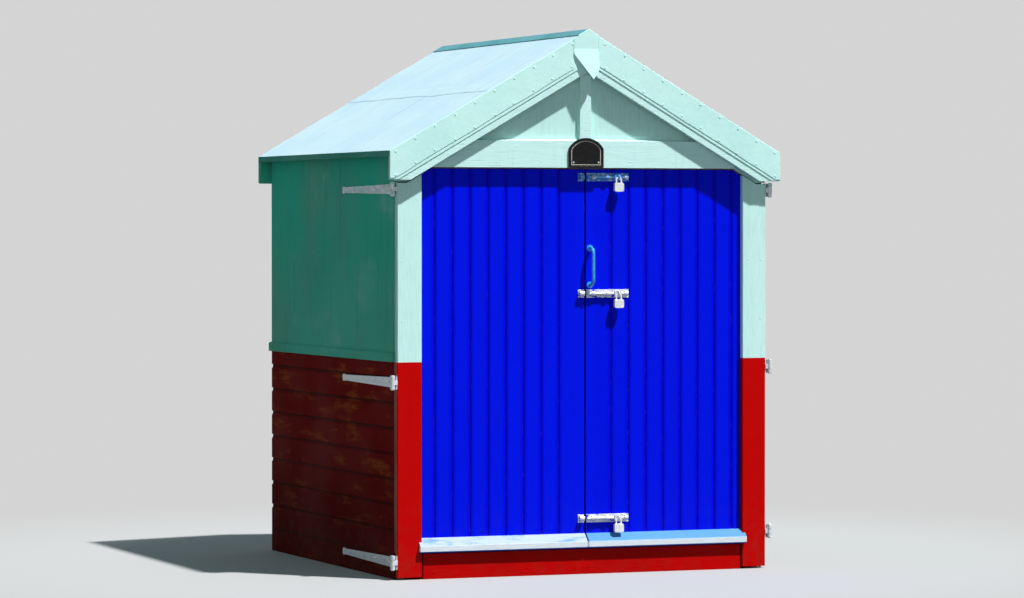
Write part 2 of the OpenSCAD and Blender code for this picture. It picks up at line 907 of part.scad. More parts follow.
module left_drip_board() {
    on_left() drip_board(left_leaf_w);
}

module right_drip_board() {
    drip_board(right_leaf_w);
}

// Bolts, padlocks and handle

module bolt_keeper(z) {
    x1 = half_w - right_leaf_w - meet_gap - plate_in;
    x0 = x1 - keeper_l;
    half = bolt_plate_h / 2;
    hole_r = bolt_r + keeper_room;
    strap_r = hole_r + strap_t;
    translate([0, 0, z]) difference() {
        union() {
            block([x0, board_y - bolt_plate_t, -half], [x1, board_y, half]);
            block([x0 + 4, bolt_y, -strap_r], [x1 - 4, board_y - bolt_plate_t, strap_r]);
            translate([x0 + 4, bolt_y, 0]) rotate([0, 90, 0]) cylinder(h = keeper_l - 8, r = strap_r);
        }
        translate([x0 - 1, bolt_y, 0]) rotate([0, 90, 0]) cylinder(h = keeper_l + 2, r = hole_r);
    }
}

module bolt_keepers() {
    color(zinc) for (z = bolt_z) bolt_keeper(z);
}

// Staple: a half ring in front of the tongue, with straight legs down to the back plate
module staple() {
    turn_y = shackle_y + 1;
    for (side = [-1, 1])
        translate([lock_x, turn_y, side * staple_r]) rotate([-90, 0, 0])
            cylinder(h = board_y - turn_y - bolt_plate_t / 2, r = staple_rod_r);
    translate([lock_x, turn_y, 0]) rotate([0, 0, 180]) rotate([90, 0, 90])
        rotate_extrude(angle = 180, start = -90) translate([staple_r, 0]) circle(staple_rod_r, $fn = 24);
}

// Back plate, straps, round bolt with its flat tongue, and the staple through the tongue
module pad_bolt(z) {
    half = bolt_plate_h / 2;
    strap_r = bolt_r + strap_t;
    translate([0, 0, z]) {
        block([bolt_x, board_y - bolt_plate_t, -half], [bolt_x + bolt_plate_l, board_y, half]);
        translate([bolt_x, bolt_y, 0]) rotate([0, 90, 0]) cylinder(h = bolt_plate_l - strap_l, r = bolt_r);
        for (x = strap_at) {
            block([bolt_x + x, bolt_y, -strap_r], [bolt_x + x + strap_l, board_y - bolt_plate_t, strap_r]);
            translate([bolt_x + x, bolt_y, 0]) rotate([0, 90, 0]) cylinder(h = strap_l, r = strap_r);
        }
        block(
            [lock_x - tongue_w / 2, tongue_y - tongue_t, -tongue_plate_h / 2],
            [lock_x + tongue_w / 2, tongue_y, tongue_plate_h / 2]
        );
        staple();
    }
}

module pad_bolts() {
    color(zinc) for (z = bolt_z) pad_bolt(z);
}

// Outline of a padlock's body with rounded corners, its top middle at the origin
module lock_outline() {
    r = lock_corner_r;
    for (x = [-lock_w / 2 + r, lock_w / 2 - r])
        for (z = [-r, -lock_h + r])
            translate([x, z]) circle(r, $fn = 24);
    translate([-lock_w / 2 + r, -lock_h]) square([lock_w - 2 * r, lock_h]);
    translate([-lock_w / 2, -lock_h + r]) square([lock_w, lock_h - 2 * r]);
}

// Padlock whose bow hangs on the lower rod of the staple
module padlock(z) {
    bow_z = -staple_r + staple_rod_r + shackle_rod_r + seat - shackle_r;
    translate([lock_x, shackle_y, z + bow_z]) {
        rotate([90, 0, 0]) rotate_extrude(angle = 180) translate([shackle_r, 0])
            circle(shackle_rod_r, $fn = 24);
        for (x = [-shackle_r, shackle_r])
            translate([x, 0, -shackle_leg - 2]) cylinder(h = shackle_leg + 2, r = shackle_rod_r, $fn = 24);
        translate([0, 0, -shackle_leg]) along_y(-lock_t / 2, lock_t / 2) lock_outline();
    }
}

module padlocks() {
    color(zinc) for (z = bolt_z) padlock(z);
}

// Bow handle: a straight grip, two quarter bends and round feet on the boards
module pull_handle() {
    grip_x = half_w - right_leaf_w + handle_in;
    grip_y = board_y - handle_out;
    bend_y = grip_y + handle_bend_r;
    foot_r = handle_r + handle_foot_out;
    color(pale_blue) translate([grip_x, 0, handle_z]) {
        translate([0, grip_y, handle_bend_r]) cylinder(h = handle_l - 2 * handle_bend_r, r = handle_r);
        for (end = [0, 1]) translate([0, 0, end * handle_l]) mirror([0, 0, end]) {
            translate([0, bend_y, handle_bend_r]) rotate([0, -90, 0]) rotate([0, 0, 180])
                rotate_extrude(angle = 90) translate([handle_bend_r, 0]) circle(handle_r);
            translate([0, bend_y, 0]) rotate([-90, 0, 0]) cylinder(h = board_y - bend_y, r = handle_r);
            translate([0, board_y - handle_foot_t, 0]) rotate([-90, 0, 0])
                cylinder(h = handle_foot_t, r = foot_r);
        }
    }
}

threshold_beam();
base_beams();
floor_joists();
floor_boards();
wall_posts();
wall_rails();
head_beam();
left_wall_panel();
right_wall_panel();
back_wall_panel();
left_wall_shiplap();
right_wall_shiplap();
back_wall_shiplap();
cover_battens();
front_gable_panel();
gable_returns();
gable_trim();
number_plate();
ridge_beam();
rafters();
left_roof_boards();
right_roof_boards();
left_roof_felt();
right_roof_felt();
ridge_strip();
front_left_bargeboard();
front_right_bargeboard();
back_bargeboards();
left_hinge_bands();
right_hinge_bands();
left_door_boards();
left_door_ledges();
left_corner_board();
left_drip_board();
left_hinge_plates();
bolt_keepers();
right_door_boards();
right_door_ledges();
right_corner_board();
right_drip_board();
right_hinge_plates();
pad_bolts();
padlocks();
pull_handle();
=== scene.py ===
# %% [markdown]
# # A timber beach hut in its paint, felt and iron
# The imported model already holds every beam, board and band at its real size. This lesson dresses it: each
# surface gets a finish of shader nodes, and the nails, screws and felt laps that hold a hut together are
# added as meshes. Everything is in metres, with the doors facing -Y and the ground at zero.

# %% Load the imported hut
import json
import math
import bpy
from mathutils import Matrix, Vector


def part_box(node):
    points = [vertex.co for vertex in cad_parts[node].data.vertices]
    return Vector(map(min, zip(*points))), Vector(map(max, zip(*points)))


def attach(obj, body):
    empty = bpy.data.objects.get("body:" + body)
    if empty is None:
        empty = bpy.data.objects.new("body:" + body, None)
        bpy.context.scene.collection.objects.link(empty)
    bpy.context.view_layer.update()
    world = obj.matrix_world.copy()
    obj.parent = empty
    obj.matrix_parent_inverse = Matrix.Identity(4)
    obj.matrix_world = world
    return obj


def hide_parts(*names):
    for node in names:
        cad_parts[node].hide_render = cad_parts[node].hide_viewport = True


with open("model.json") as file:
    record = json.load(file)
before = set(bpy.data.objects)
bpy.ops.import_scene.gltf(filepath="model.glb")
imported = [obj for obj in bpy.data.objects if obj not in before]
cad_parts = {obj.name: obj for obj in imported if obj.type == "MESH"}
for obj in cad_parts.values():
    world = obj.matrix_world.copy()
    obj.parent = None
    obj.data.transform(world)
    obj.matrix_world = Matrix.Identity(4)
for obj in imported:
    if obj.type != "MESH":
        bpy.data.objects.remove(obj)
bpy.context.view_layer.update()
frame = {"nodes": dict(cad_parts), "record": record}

from fnmatch import fnmatch

import bmesh
import bpy
from mathutils import Vector, noise

# %% [markdown]
# ## The camera
# The hut is seen from eye height through a long lens, eighteen metres in front of its doors and seven to
# their left. The camera looks almost level at the hut's middle, so the corners stay upright.

# %% Place the camera
scene = bpy.context.scene
scene.view_settings.view_transform = "Standard"

eye_point = Vector((-7.09, -18.075, 1.607))
look_point = Vector((0.0, 0.0, 1.25))
focal_length = 142

lens = bpy.data.cameras.new("camera")
lens.lens = focal_length
camera = bpy.data.objects.new("camera", lens)
camera.location = eye_point
camera.rotation_euler = (look_point - eye_point).to_track_quat("-Z", "Y").to_euler()
scene.collection.objects.link(camera)
scene.camera = camera
print("camera distance", round((look_point - eye_point).length, 2), "m")

# %% [markdown]
# ## Wiring nodes with few words
# A finish is a small graph of nodes. One function adds a node with its inputs, and one class keeps a
# material and the object's own coordinates together, with a short method for each kind of node. The object's
# coordinates are used throughout, because they move with a door that swings.

# %% Functions that add and wire nodes
def wire(tree, sockets, inputs):
    """Sets a value on a socket, or links another node's output to it."""
    for key, value in inputs.items():
        if isinstance(value, bpy.types.NodeSocket):
            tree.links.new(value, sockets[key])
        else:
            sockets[key].default_value = value


def add_node(tree, kind, inputs=None, **settings):
    """Adds a node and returns its outputs."""
    made = tree.nodes.new(kind)
    for key, value in settings.items():
        setattr(made, key, value)
    wire(tree, made.inputs, inputs or {})
    return made.outputs


def srgb(red, green, blue):
    """A screen colour, 0 to 255, in the linear values of a shader."""
    shades = [value / 255 for value in (red, green, blue)]
    return [s / 12.92 if s < 0.04 else ((s + 0.055) / 1.055) ** 2.4 for s in shades] + [1.0]


def grey(shade):
    """An even grey in linear values."""
    return [shade] * 3 + [1.0]


# %% A class for the look of a material
class Look:
    """A material with its node tree, its shader and the object's own coordinates."""

    def __init__(self, name):
        self.material = bpy.data.materials.new(name)
        self.material.use_nodes = True
        self.tree = self.material.node_tree
        self.shader = self.tree.nodes["Principled BSDF"]
        self.place = self.node("ShaderNodeTexCoord")["Object"]
        self.x, self.y, self.z = self.node("ShaderNodeSeparateXYZ", {0: self.place})
        self.normal = None

    def node(self, kind, inputs=None, **settings):
        return add_node(self.tree, kind, inputs, **settings)

    def maths(self, operation, first, second, clamp=False):
        return self.node("ShaderNodeMath", {0: first, 1: second}, operation=operation, use_clamp=clamp)[0]

    def times(self, first, second):
        return self.maths("MULTIPLY", first, second)

    def less(self, first, second):
        return self.maths("SUBTRACT", first, second)

    def apart(self, first, second=0.0):
        """How far apart two values are."""
        return self.maths("ABSOLUTE", self.less(first, second), 0.0)

    def vectors(self, operation, first, second=(0, 0, 0)):
        return self.node("ShaderNodeVectorMath", {0: first, 1: second}, operation=operation)

    def noise(self, size, stretch=(1, 1, 1), detail=4.0, rough=0.55, seed=0.0):
        """Noise with features of about a given size, drawn out by stretch."""
        scale = [1 / (size * s) for s in stretch]
        drawn = self.node("ShaderNodeMapping", {0: self.place, "Scale": scale, "Location": (seed,) * 3})[0]
        inputs = {"Vector": drawn, "Scale": 1.0, "Detail": detail, "Roughness": rough}
        return self.node("ShaderNodeTexNoise", inputs)[0]

    def step(self, value, start, end, low=0.0, high=1.0):
        """Goes smoothly from low to high while the value goes from start to end."""
        inputs = {"Value": value, "From Min": start, "From Max": end, "To Min": low, "To Max": high}
        return self.node("ShaderNodeMapRange", inputs, interpolation_type="SMOOTHSTEP")[0]

    def patches(self, start, end, *looks, most=1.0, **more):
        """Patches where a noise with these looks goes from start to end."""
        return self.step(self.noise(*looks, **more), start, end, 0.0, most)

    def mix(self, factor, under, over, blend="MIX"):
        """Lays one colour over another."""
        inputs = {0: factor, 6: under, 7: over}
        return self.node("ShaderNodeMix", inputs, data_type="RGBA", blend_type=blend)[2]

    def darken(self, factor, colour, by=0.45):
        """Multiplies a colour down where the factor is one."""
        return self.mix(factor, colour, grey(by), "MULTIPLY")

    def board_shade(self, place):
        """A random value for each board, where place counts the boards."""
        board = self.maths("FLOOR", place, 0.0)
        return self.node("ShaderNodeTexWhiteNoise", {"W": board}, noise_dimensions="1D")["Value"]

    def off_centre(self, place):
        """How far a point is from its board's middle, as a share of the board."""
        return self.apart(self.maths("FRACT", place, 0.0), 0.5)

    def soft_edges(self, radius):
        """Rounds the arrises in the shading and returns how near one a point is."""
        self.normal = self.node("ShaderNodeBevel", {"Radius": radius}, samples=4)[0]
        flat = self.node("ShaderNodeNewGeometry")["True Normal"]
        return self.step(self.vectors("DOT_PRODUCT", self.normal, flat)["Value"], 0.99, 0.85)

    def relief(self, height, depth):
        """Adds a bump, depth metres high where height is one."""
        inputs = {"Height": height, "Distance": depth, "Strength": 1.0}
        if self.normal:
            inputs["Normal"] = self.normal
        self.normal = self.node("ShaderNodeBump", inputs)[0]

    def done(self, colour, roughness, others=None):
        """Wires the shader, with even values straight on its own sockets, and returns the material."""
        wanted = {"Base Color": colour, "Roughness": roughness, **(others or {})}
        if self.normal:
            wanted["Normal"] = self.normal
        wire(self.tree, self.shader.inputs, wanted)
        return self.material


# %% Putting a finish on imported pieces
slot_names = {part["node"]: part["material_slot"] for part in frame["record"]["subparts"]}


def coat(material, *patterns):
    """Puts a finish on the nodes that fit."""
    nodes = [name for name in slot_names if any(fnmatch(name, pattern) for pattern in patterns)]
    for name in nodes:
        for slot in frame["nodes"][name].material_slots:
            slot.material = material
    print(material.name, "on", ", ".join(nodes))
    return material


# %% [markdown]
# ## Floor, background and light
# The hut stands on a plain pale floor that fades into an even pale background. A seafront's pavement is dark
# and throws little light up, so the floor is pale for the camera and for reflections, and darker for the
# light that it hands on. One lamp stands where the midday sun did, high and to the right, and a weak, cool
# world plays the sky's part.

# %% Floor that fades into the background
backdrop = grey(0.66)
floor_seen, floor_handed_on = grey(0.41), grey(0.10)
fade_start, fade_end = 1.9, 4.2
floor_size, floor_sunk = 120.0, 0.0005


def looked_at(tree):
    """One for the rays that see a thing or mirror it, zero for those that carry light."""
    ray = add_node(tree, "ShaderNodeLightPath")
    seen = ray["Is Camera Ray"]
    for kind in ("Is Glossy Ray", "Is Transmission Ray"):
        seen = add_node(tree, "ShaderNodeMath", {0: seen, 1: ray[kind]}, operation="MAXIMUM")[0]
    return seen


look = Look("studio floor")
seen = looked_at(look.tree)
distance = look.vectors("LENGTH", look.place)["Value"]
far = look.times(look.step(distance, fade_start, fade_end), seen)
floor_paint = look.done(look.mix(seen, floor_handed_on, floor_seen), 0.9)
glow = look.node("ShaderNodeEmission", {"Color": backdrop, "Strength": 1.0})[0]
faded = look.node("ShaderNodeMixShader", {0: far, 1: look.shader.outputs[0], 2: glow})[0]
wire(look.tree, look.tree.nodes["Material Output"].inputs, {"Surface": faded})

bpy.ops.mesh.primitive_plane_add(size=floor_size, location=(0, 0, -floor_sunk))
floor = bpy.context.object
floor.name = "studio_floor"
floor.data.materials.append(floor_paint)
print("floor", floor_size, "m wide, faded out from", fade_start, "to", fade_end, "m")

# %% World and lamps
sky_colour, sky_strength = (0.52, 0.90, 1.0, 1.0), 0.22
# for each lamp its strength, the direction in which it stands, and its width in degrees
lamps = {"key": (5.5, Vector((0.84, -1.0, 2.5)), 2), "fill": (0.25, eye_point, 40)}

scene.world = bpy.data.worlds.new("studio")
scene.world.use_nodes = True
sky_tree = scene.world.node_tree
sky = add_node(sky_tree, "ShaderNodeBackground", {"Color": sky_colour, "Strength": sky_strength})[0]
plain = add_node(sky_tree, "ShaderNodeBackground", {"Color": backdrop, "Strength": 1.0})[0]
either = add_node(sky_tree, "ShaderNodeMixShader", {0: looked_at(sky_tree), 1: sky, 2: plain})[0]
wire(sky_tree, sky_tree.nodes["World Output"].inputs, {"Surface": either})

for name, (strength, direction, width) in lamps.items():
    lamp = bpy.data.lights.new(name, "SUN")
    lamp.energy, lamp.angle = strength, math.radians(width)
    lamp_object = bpy.data.objects.new(name, lamp)
    lamp_object.rotation_euler = direction.to_track_quat("Z", "Y").to_euler()
    scene.collection.objects.link(lamp_object)
    print(name, "light on the front", round(strength / math.pi * -direction.normalized().y, 2))

# %% [markdown]
# ## Brushed paint on boards
# Most of the hut is softwood under gloss paint, which is never one colour: it has brush marks and grain
# along the board, streaks where rain ran down, dirt near the ground, and bare wood where an arris was
# knocked. One function builds that, with the amounts as its arguments.

# %% Paint for timber
bare_wood = srgb(150, 118, 84)
grime = srgb(70, 62, 52)
splash_top = 0.45


def painted_boards(name, paint, along, worn=None, chips=0.5, streaks=0.25, dirt=0.3, gloss=0.38, seed=0.0,
                   sheen=0.12, shape=None):
    """Gloss paint brushed on timber. along is the way the boards run; shape may repaint parts of it."""
    look = Look(name)
    arris = look.soft_edges(0.0025)
    stretch = [0.06 if axis != along else 1.6 for axis in "XYZ"]
    grain = look.noise(0.06, stretch, 6.0, 0.62, seed)
    cloud = look.noise(0.45, (1, 1, 1), 3.0, 0.5, seed + 3)
    tone = shape(look, paint) if shape else look.mix(look.step(cloud, 0.35, 0.7, 0.0, 0.5), paint, worn)
    tone = look.darken(look.step(grain, 0.45, 0.8, 0.0, 0.3), tone)
    tone = look.darken(look.patches(0.52, 0.78, 0.03, (1, 1, 14), 5.0, 0.6, seed, most=streaks), tone)
    low = look.step(look.z, splash_top, 0.0, 0.0, dirt)
    tone = look.mix(look.times(low, look.patches(0.35, 0.7, 0.05, seed=seed)), tone, grime)
    knocked = look.times(arris, look.patches(0.56, 0.64, 0.02, (1, 1, 1), 5.0, 0.7, seed + 7, most=chips))
    tone = look.mix(knocked, tone, bare_wood)
    look.relief(grain, 0.0009)
    look.relief(look.noise(0.004, stretch, 3.0, 0.5, seed + 1), 0.0002)
    dull = look.step(cloud, 0.3, 0.8, gloss, gloss + 0.2)
    rough = look.maths("MAXIMUM", dull, look.times(knocked, 0.8))
    return look.done(tone, rough, {"Specular IOR Level": sheen})


# %% [markdown]
# ## Mint paint of the gable and the bargeboards
# The front of the gable, its trims and the bargeboards are the palest timber. Their boards lie in different
# directions, so the same paint is made twice, once with its brush marks upright and once level.

# %% Mint paint
mint = srgb(212, 252, 246)
mint_worn = srgb(196, 244, 238)
mint_pale = srgb(216, 254, 250)
gable_mint = srgb(206, 247, 238)
coat(painted_boards("mint paint upright", gable_mint, "Z", mint_worn, dirt=0.0, streaks=0.12, seed=1.0),
     "front_gable_panel", "gable_returns")
level_mint = painted_boards("mint paint level", mint_pale, "X", mint, dirt=0.0, streaks=0.14, seed=2.0)
coat(level_mint, "front_*_bargeboard", "gable_trim")

# %% [markdown]
# ## Sea-green wall sheets
# The upper walls are smooth sheets in a deeper sea green, gone chalky in soft patches and streaked by rain.
# Inside they were never painted, so the graph switches to bare board within the frame of the walls.

# %% Sheet paint
sea_green = srgb(88, 198, 172)
sea_green_deep = srgb(30, 200, 168)
olive_green = srgb(104, 178, 150)
chalk = srgb(150, 215, 198)
inner_board = srgb(206, 180, 138)
inner_grain = srgb(184, 152, 108)
wall_inner = 0.9025


def bare_indoors(look, painted):
    """The paint outdoors, and bare board within the frame of the walls."""
    x_out = look.maths("GREATER_THAN", look.apart(look.x), wall_inner)
    y_out = look.maths("GREATER_THAN", look.y, wall_inner)
    indoors = look.maths("SUBTRACT", 1.0, look.maths("MAXIMUM", x_out, y_out), clamp=True)
    figure = look.patches(0.35, 0.7, 0.05, (0.5, 0.5, 6.0), 5.0, 0.6, 4.5)
    return look.mix(indoors, painted, look.mix(figure, inner_board, inner_grain))


def sheet_tones(look, paint):
    """Deeper paint up under the eaves, duller and chalky patches."""
    deep = look.mix(look.step(look.z, 1.0, 1.75, 0.0, 0.75), paint, sea_green_deep)
    dull = look.patches(0.42, 0.66, 0.6, (1, 1, 1.4), 4.0, 0.55, 4.8, most=0.6)
    chalky = look.patches(0.52, 0.72, 0.5, (1, 1, 0.5), 5.0, 0.6, 4.0, most=0.45)
    return bare_indoors(look, look.mix(chalky, look.mix(dull, deep, olive_green), chalk))


sheet_paint = painted_boards("sea green sheet paint", sea_green, "Z", chips=0.4, streaks=0.45, dirt=0.0,
                             gloss=0.6, seed=5.0, sheen=0.05, shape=sheet_tones)
coat(sheet_paint, "*_wall_panel", "cover_battens", "back_bargeboards")

# %% [markdown]
# ## Red boards
# The foot of the hut is red: a bright, often renewed gloss on the threshold, and an older, darker coat on
# the shiplap, worn to brown wood where the sun and the spray reach it.

# %% Red paint
signal_red = srgb(204, 3, 3)
signal_red_worn = srgb(176, 6, 6)
old_red = srgb(118, 8, 6)
# deep red of the painted shade at the wall's foot
foot_shade_red = srgb(62, 6, 5)
brown_wood = srgb(172, 84, 34)
shiplap_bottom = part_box("left_wall_shiplap")[0].z
board_rise = 0.115


def shiplap_tones(look, paint):
    """Old red, worn through to brown in places, with painted shade under each lap and towards the foot."""
    worn = look.patches(0.53, 0.68, 0.16, (3, 3, 0.6), 7.0, 0.68, 6.0, most=0.68)
    course = look.maths("DIVIDE", look.less(look.z, shiplap_bottom), board_rise)
    # painted shade: a dark band just under the lap of the board above
    lap_shade = look.step(look.maths("FRACT", course, 0.0), 0.80, 0.98)
    colour = look.darken(lap_shade, look.mix(worn, paint, brown_wood), 0.3)
    # painted shade: the red goes darker towards the foot
    return bare_indoors(look, look.mix(look.step(look.z, 0.75, 0.1, 0.0, 0.55), colour, foot_shade_red))


def old_shiplap(name, along, seed):
    """The worn coat of the shiplap, on boards along an axis."""
    return painted_boards(name, old_red, along, chips=0.9, streaks=0.35, gloss=0.6, seed=seed, sheen=0.02,
                          shape=shiplap_tones)


red_front = painted_boards("red gloss", signal_red, "X", signal_red_worn, dirt=0.08, streaks=0.1, seed=8.0,
                           sheen=0.05)
red_shiplap = old_shiplap("old red shiplap paint", "Y", 9.0)
coat(red_front, "threshold_beam")
coat(red_shiplap, "left_wall_shiplap", "right_wall_shiplap", "base_beams")
coat(old_shiplap("old red shiplap paint back", "X", 9.5), "back_wall_shiplap")

# %% [markdown]
# ## Corner boards in two colours
# The corner boards are mint above and red below. A painter masks the line between with tape, so the nodes
# switch colour at one height with a sharp edge.

# %% Two-colour paint
colour_change = 0.985
tape_edge = 0.001


def below_tape(look):
    """One below the taped line."""
    return look.step(look.z, colour_change + tape_edge, colour_change - tape_edge)


corner_paint = painted_boards("corner board paint", mint, "Z", streaks=0.12, dirt=0.15, seed=11.0,
                              sheen=0.06,
                              shape=lambda look, paint: look.mix(below_tape(look), paint, signal_red))
coat(corner_paint, "*_corner_board")

# %% [markdown]
# ## Blue doors
# The leaves are boarded and painted a strong blue. The V-joints hold some dirt, and painted shade darkens
# the paint with depth in them and beside them. The depth of a point is its Y less the Y of the leaves'
# faces.

# %% Door paint
door_blue = srgb(0, 22, 242)
board_blue = srgb(0, 16, 226)
# blues of the painted shade beside and in the V-joints
beside_joint_shade_blue = srgb(0, 2, 222)
joint_shade_blue = srgb(0, 4, 206)
board_width = 0.087
right_joint, left_joint, meeting_line = 0.142, -0.118, 0.012
joint_shift = (right_joint - left_joint) / board_width
meeting_reach = 0.101
leaf_depth = 0.011
face_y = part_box("right_door_boards")[0].y
leaf_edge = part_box("right_door_boards")[1].x


def joint_tones(look, paint):
    """Painted shade in and beside the V-joints, with some dirt in them, blues that differ from board to
    board, and the wall's colours on the leaf's outer edge. No joint lies between the two boards that meet,
    which are wider."""
    depth = look.less(look.y, face_y)
    left = look.maths("DIVIDE", look.less(look.x, left_joint), board_width)
    varied = look.mix(look.times(look.board_shade(left), 0.35), paint, board_blue)
    on_right = look.maths("GREATER_THAN", look.x, right_joint - 1.5 * board_width)
    near = look.off_centre(look.less(left, look.times(on_right, joint_shift)))
    clear = look.step(look.apart(look.x, meeting_line), meeting_reach - 0.005, meeting_reach + 0.005)
    # painted shade in soft bands beside each joint
    varied = look.mix(look.times(look.step(near, 0.24, 0.46, 0.0, 0.85), clear), varied, beside_joint_shade_blue)
    front = look.step(depth, leaf_depth + 0.001, leaf_depth - 0.001)
    # painted shade, with some dirt, deeper in the V-joints
    faces = look.mix(look.times(look.step(depth, 0.0002, 0.0040), front), varied, joint_shade_blue)
    edge = look.step(look.apart(look.x), leaf_edge - 0.0008, leaf_edge - 0.0002)
    return look.mix(edge, faces, look.mix(below_tape(look), sea_green, old_red))


door_paint = painted_boards("blue door paint", door_blue, "Z", chips=0.45, streaks=0.12, dirt=0.1, gloss=0.3,
                            seed=13.0, sheen=0.06, shape=joint_tones)
coat(door_paint, "*_door_boards")

# %% [markdown]
# ## Drip boards
# A drip board at the foot of each leaf throws the rain clear of the threshold. Its slope is sky blue, faded
# on the left leaf, and its nose nearly white.

# %% Drip board paint
nose_top = 0.150
foot_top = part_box("left_drip_board")[0].z + 0.0055
sky_blue = srgb(78, 144, 200)
sky_blue_faded = srgb(172, 188, 206)
nose_white = srgb(236, 243, 251)
foot_blue = srgb(40, 84, 214)


def nose_tones(look, paint):
    """White nose, the doors' blue along its foot, and a slope that keeps some of its sky blue."""
    kept = look.patches(0.50, 0.66, 0.10, (1.6, 0.4, 0.4), 4.0, 0.6, 17.0, most=0.8)
    nose = look.step(look.z, nose_top + 0.004, nose_top - 0.004)
    foot = look.step(look.z, foot_top + 0.0015, foot_top - 0.0015)
    return look.mix(foot, look.mix(nose, look.mix(kept, paint, sky_blue), nose_white), foot_blue)


for name, paint, chips, seed, node in (
    ("faded sky blue paint", sky_blue_faded, 0.6, 15.0, "left_drip_board"),
    ("bright sky blue paint", sky_blue, 0.4, 16.0, "right_drip_board"),
):
    coat(painted_boards(name, paint, "X", chips=chips, dirt=0.06, streaks=0.1, seed=seed, shape=nose_tones),
         node)

# %% [markdown]
# ## Roofing felt
# The felt is a mineral sheet under pale paint. The grit shows as a fine, even bump, the paint has cloudy
# patches, and faint grey runs follow the slope. The folds over the bargeboards were painted mint with the
# gable, and the graph tells them from the slope by their distance from the middle.

# %% Felt
felt_pale, felt_cool = srgb(194, 220, 230), srgb(186, 214, 228)
# darker tones of the right slope: painted shade against the key lamp's stronger light there
felt_right_shade_dark, felt_right_shade_pale = srgb(150, 178, 190), srgb(170, 190, 196)
# the ridge strip's dark teal is painted shade, for the shaded flank of a raised ridge
ridge_shade_pale, ridge_shade_cool = srgb(92, 156, 164), srgb(78, 142, 152)
run_grey = srgb(136, 154, 160)
fold_mint = srgb(214, 255, 250)
# green of the eave's turn-down, darkened as painted shade
eave_shade_green = srgb(60, 150, 132)
felt_thick = 0.003
fold_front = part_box("left_roof_felt")[0].y
board_front = -fold_front - felt_thick
eave_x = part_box("right_roof_felt")[1].x


def felt(name, pale, cool, seed, right_dimming=1.0):
    """Painted felt: darker on the right slope, painted shade against the key lamp's stronger light; a dark
    green at the eave's turn-down, partly painted shade; and mint on the folds."""
    look = Look(name)
    look.soft_edges(0.002)
    grit = look.noise(0.0022, detail=2.0, seed=seed)
    cloud = look.noise(0.4, (0.7, 1, 1), 4.0, 0.55, seed)
    slope = look.mix(look.step(cloud, 0.35, 0.7), pale, cool)
    # painted shade: the right slope is darker to offset the key lamp's stronger light on it
    right_slope_shaded = look.mix(look.step(cloud, 0.38, 0.62), felt_right_shade_dark, felt_right_shade_pale)
    slope = look.mix(look.step(look.x, -0.01, 0.01, 0.0, right_dimming), slope, right_slope_shaded)
    runs = look.patches(0.5, 0.8, 0.035, (12, 1, 12), 4.0, 0.6, seed + 2, most=0.3)
    slope = look.mix(runs, slope, run_grey)
    turned_down = look.step(look.apart(look.x), eave_x - 0.0008, eave_x - 0.0002)
    folded = look.step(look.apart(look.y), board_front - 0.0004, board_front + 0.0002)
    front = look.mix(look.step(cloud, 0.4, 0.7, 0.0, 0.5), fold_mint, mint_worn)
    # painted shade: the eave's turn-down takes a darkened green
    tone = look.mix(folded, look.mix(turned_down, slope, eave_shade_green), front)
    tone = look.mix(look.step(grit, 0.5, 0.75, 0.0, 0.16), tone, grime)
    look.relief(look.noise(0.18, detail=3.0, seed=seed + 5), 0.004)
    look.relief(grit, 0.0006)
    return look.done(tone, look.step(cloud, 0.3, 0.7, 0.62, 0.8), {"Specular IOR Level": 0.2})


roof_felt = coat(felt("painted roof felt", felt_pale, felt_cool, 20.0), "*_roof_felt")
# painted shade: the ridge strip's whole colour is a shaded teal
ridge_shade_felt = coat(felt("ridge felt", ridge_shade_pale, ridge_shade_cool, 24.0, right_dimming=0.0), "ridge_strip")

# %% [markdown]
# ## Bare softwood
# Indoors the frame is sawn softwood. Its figure is a wave pattern, bent by noise and drawn out along the
# grain, with dark knots where a cell pattern comes to a point. There is one finish for each axis that timber
# runs along.

# %% Timber
pale_wood, ring_wood = srgb(214, 184, 138), srgb(178, 136, 86)
worn_wood, worn_ring = srgb(178, 150, 112), srgb(140, 106, 70)
knot_brown = srgb(96, 62, 36)
gap_shade = srgb(38, 28, 20)
roof_board_width = 0.118


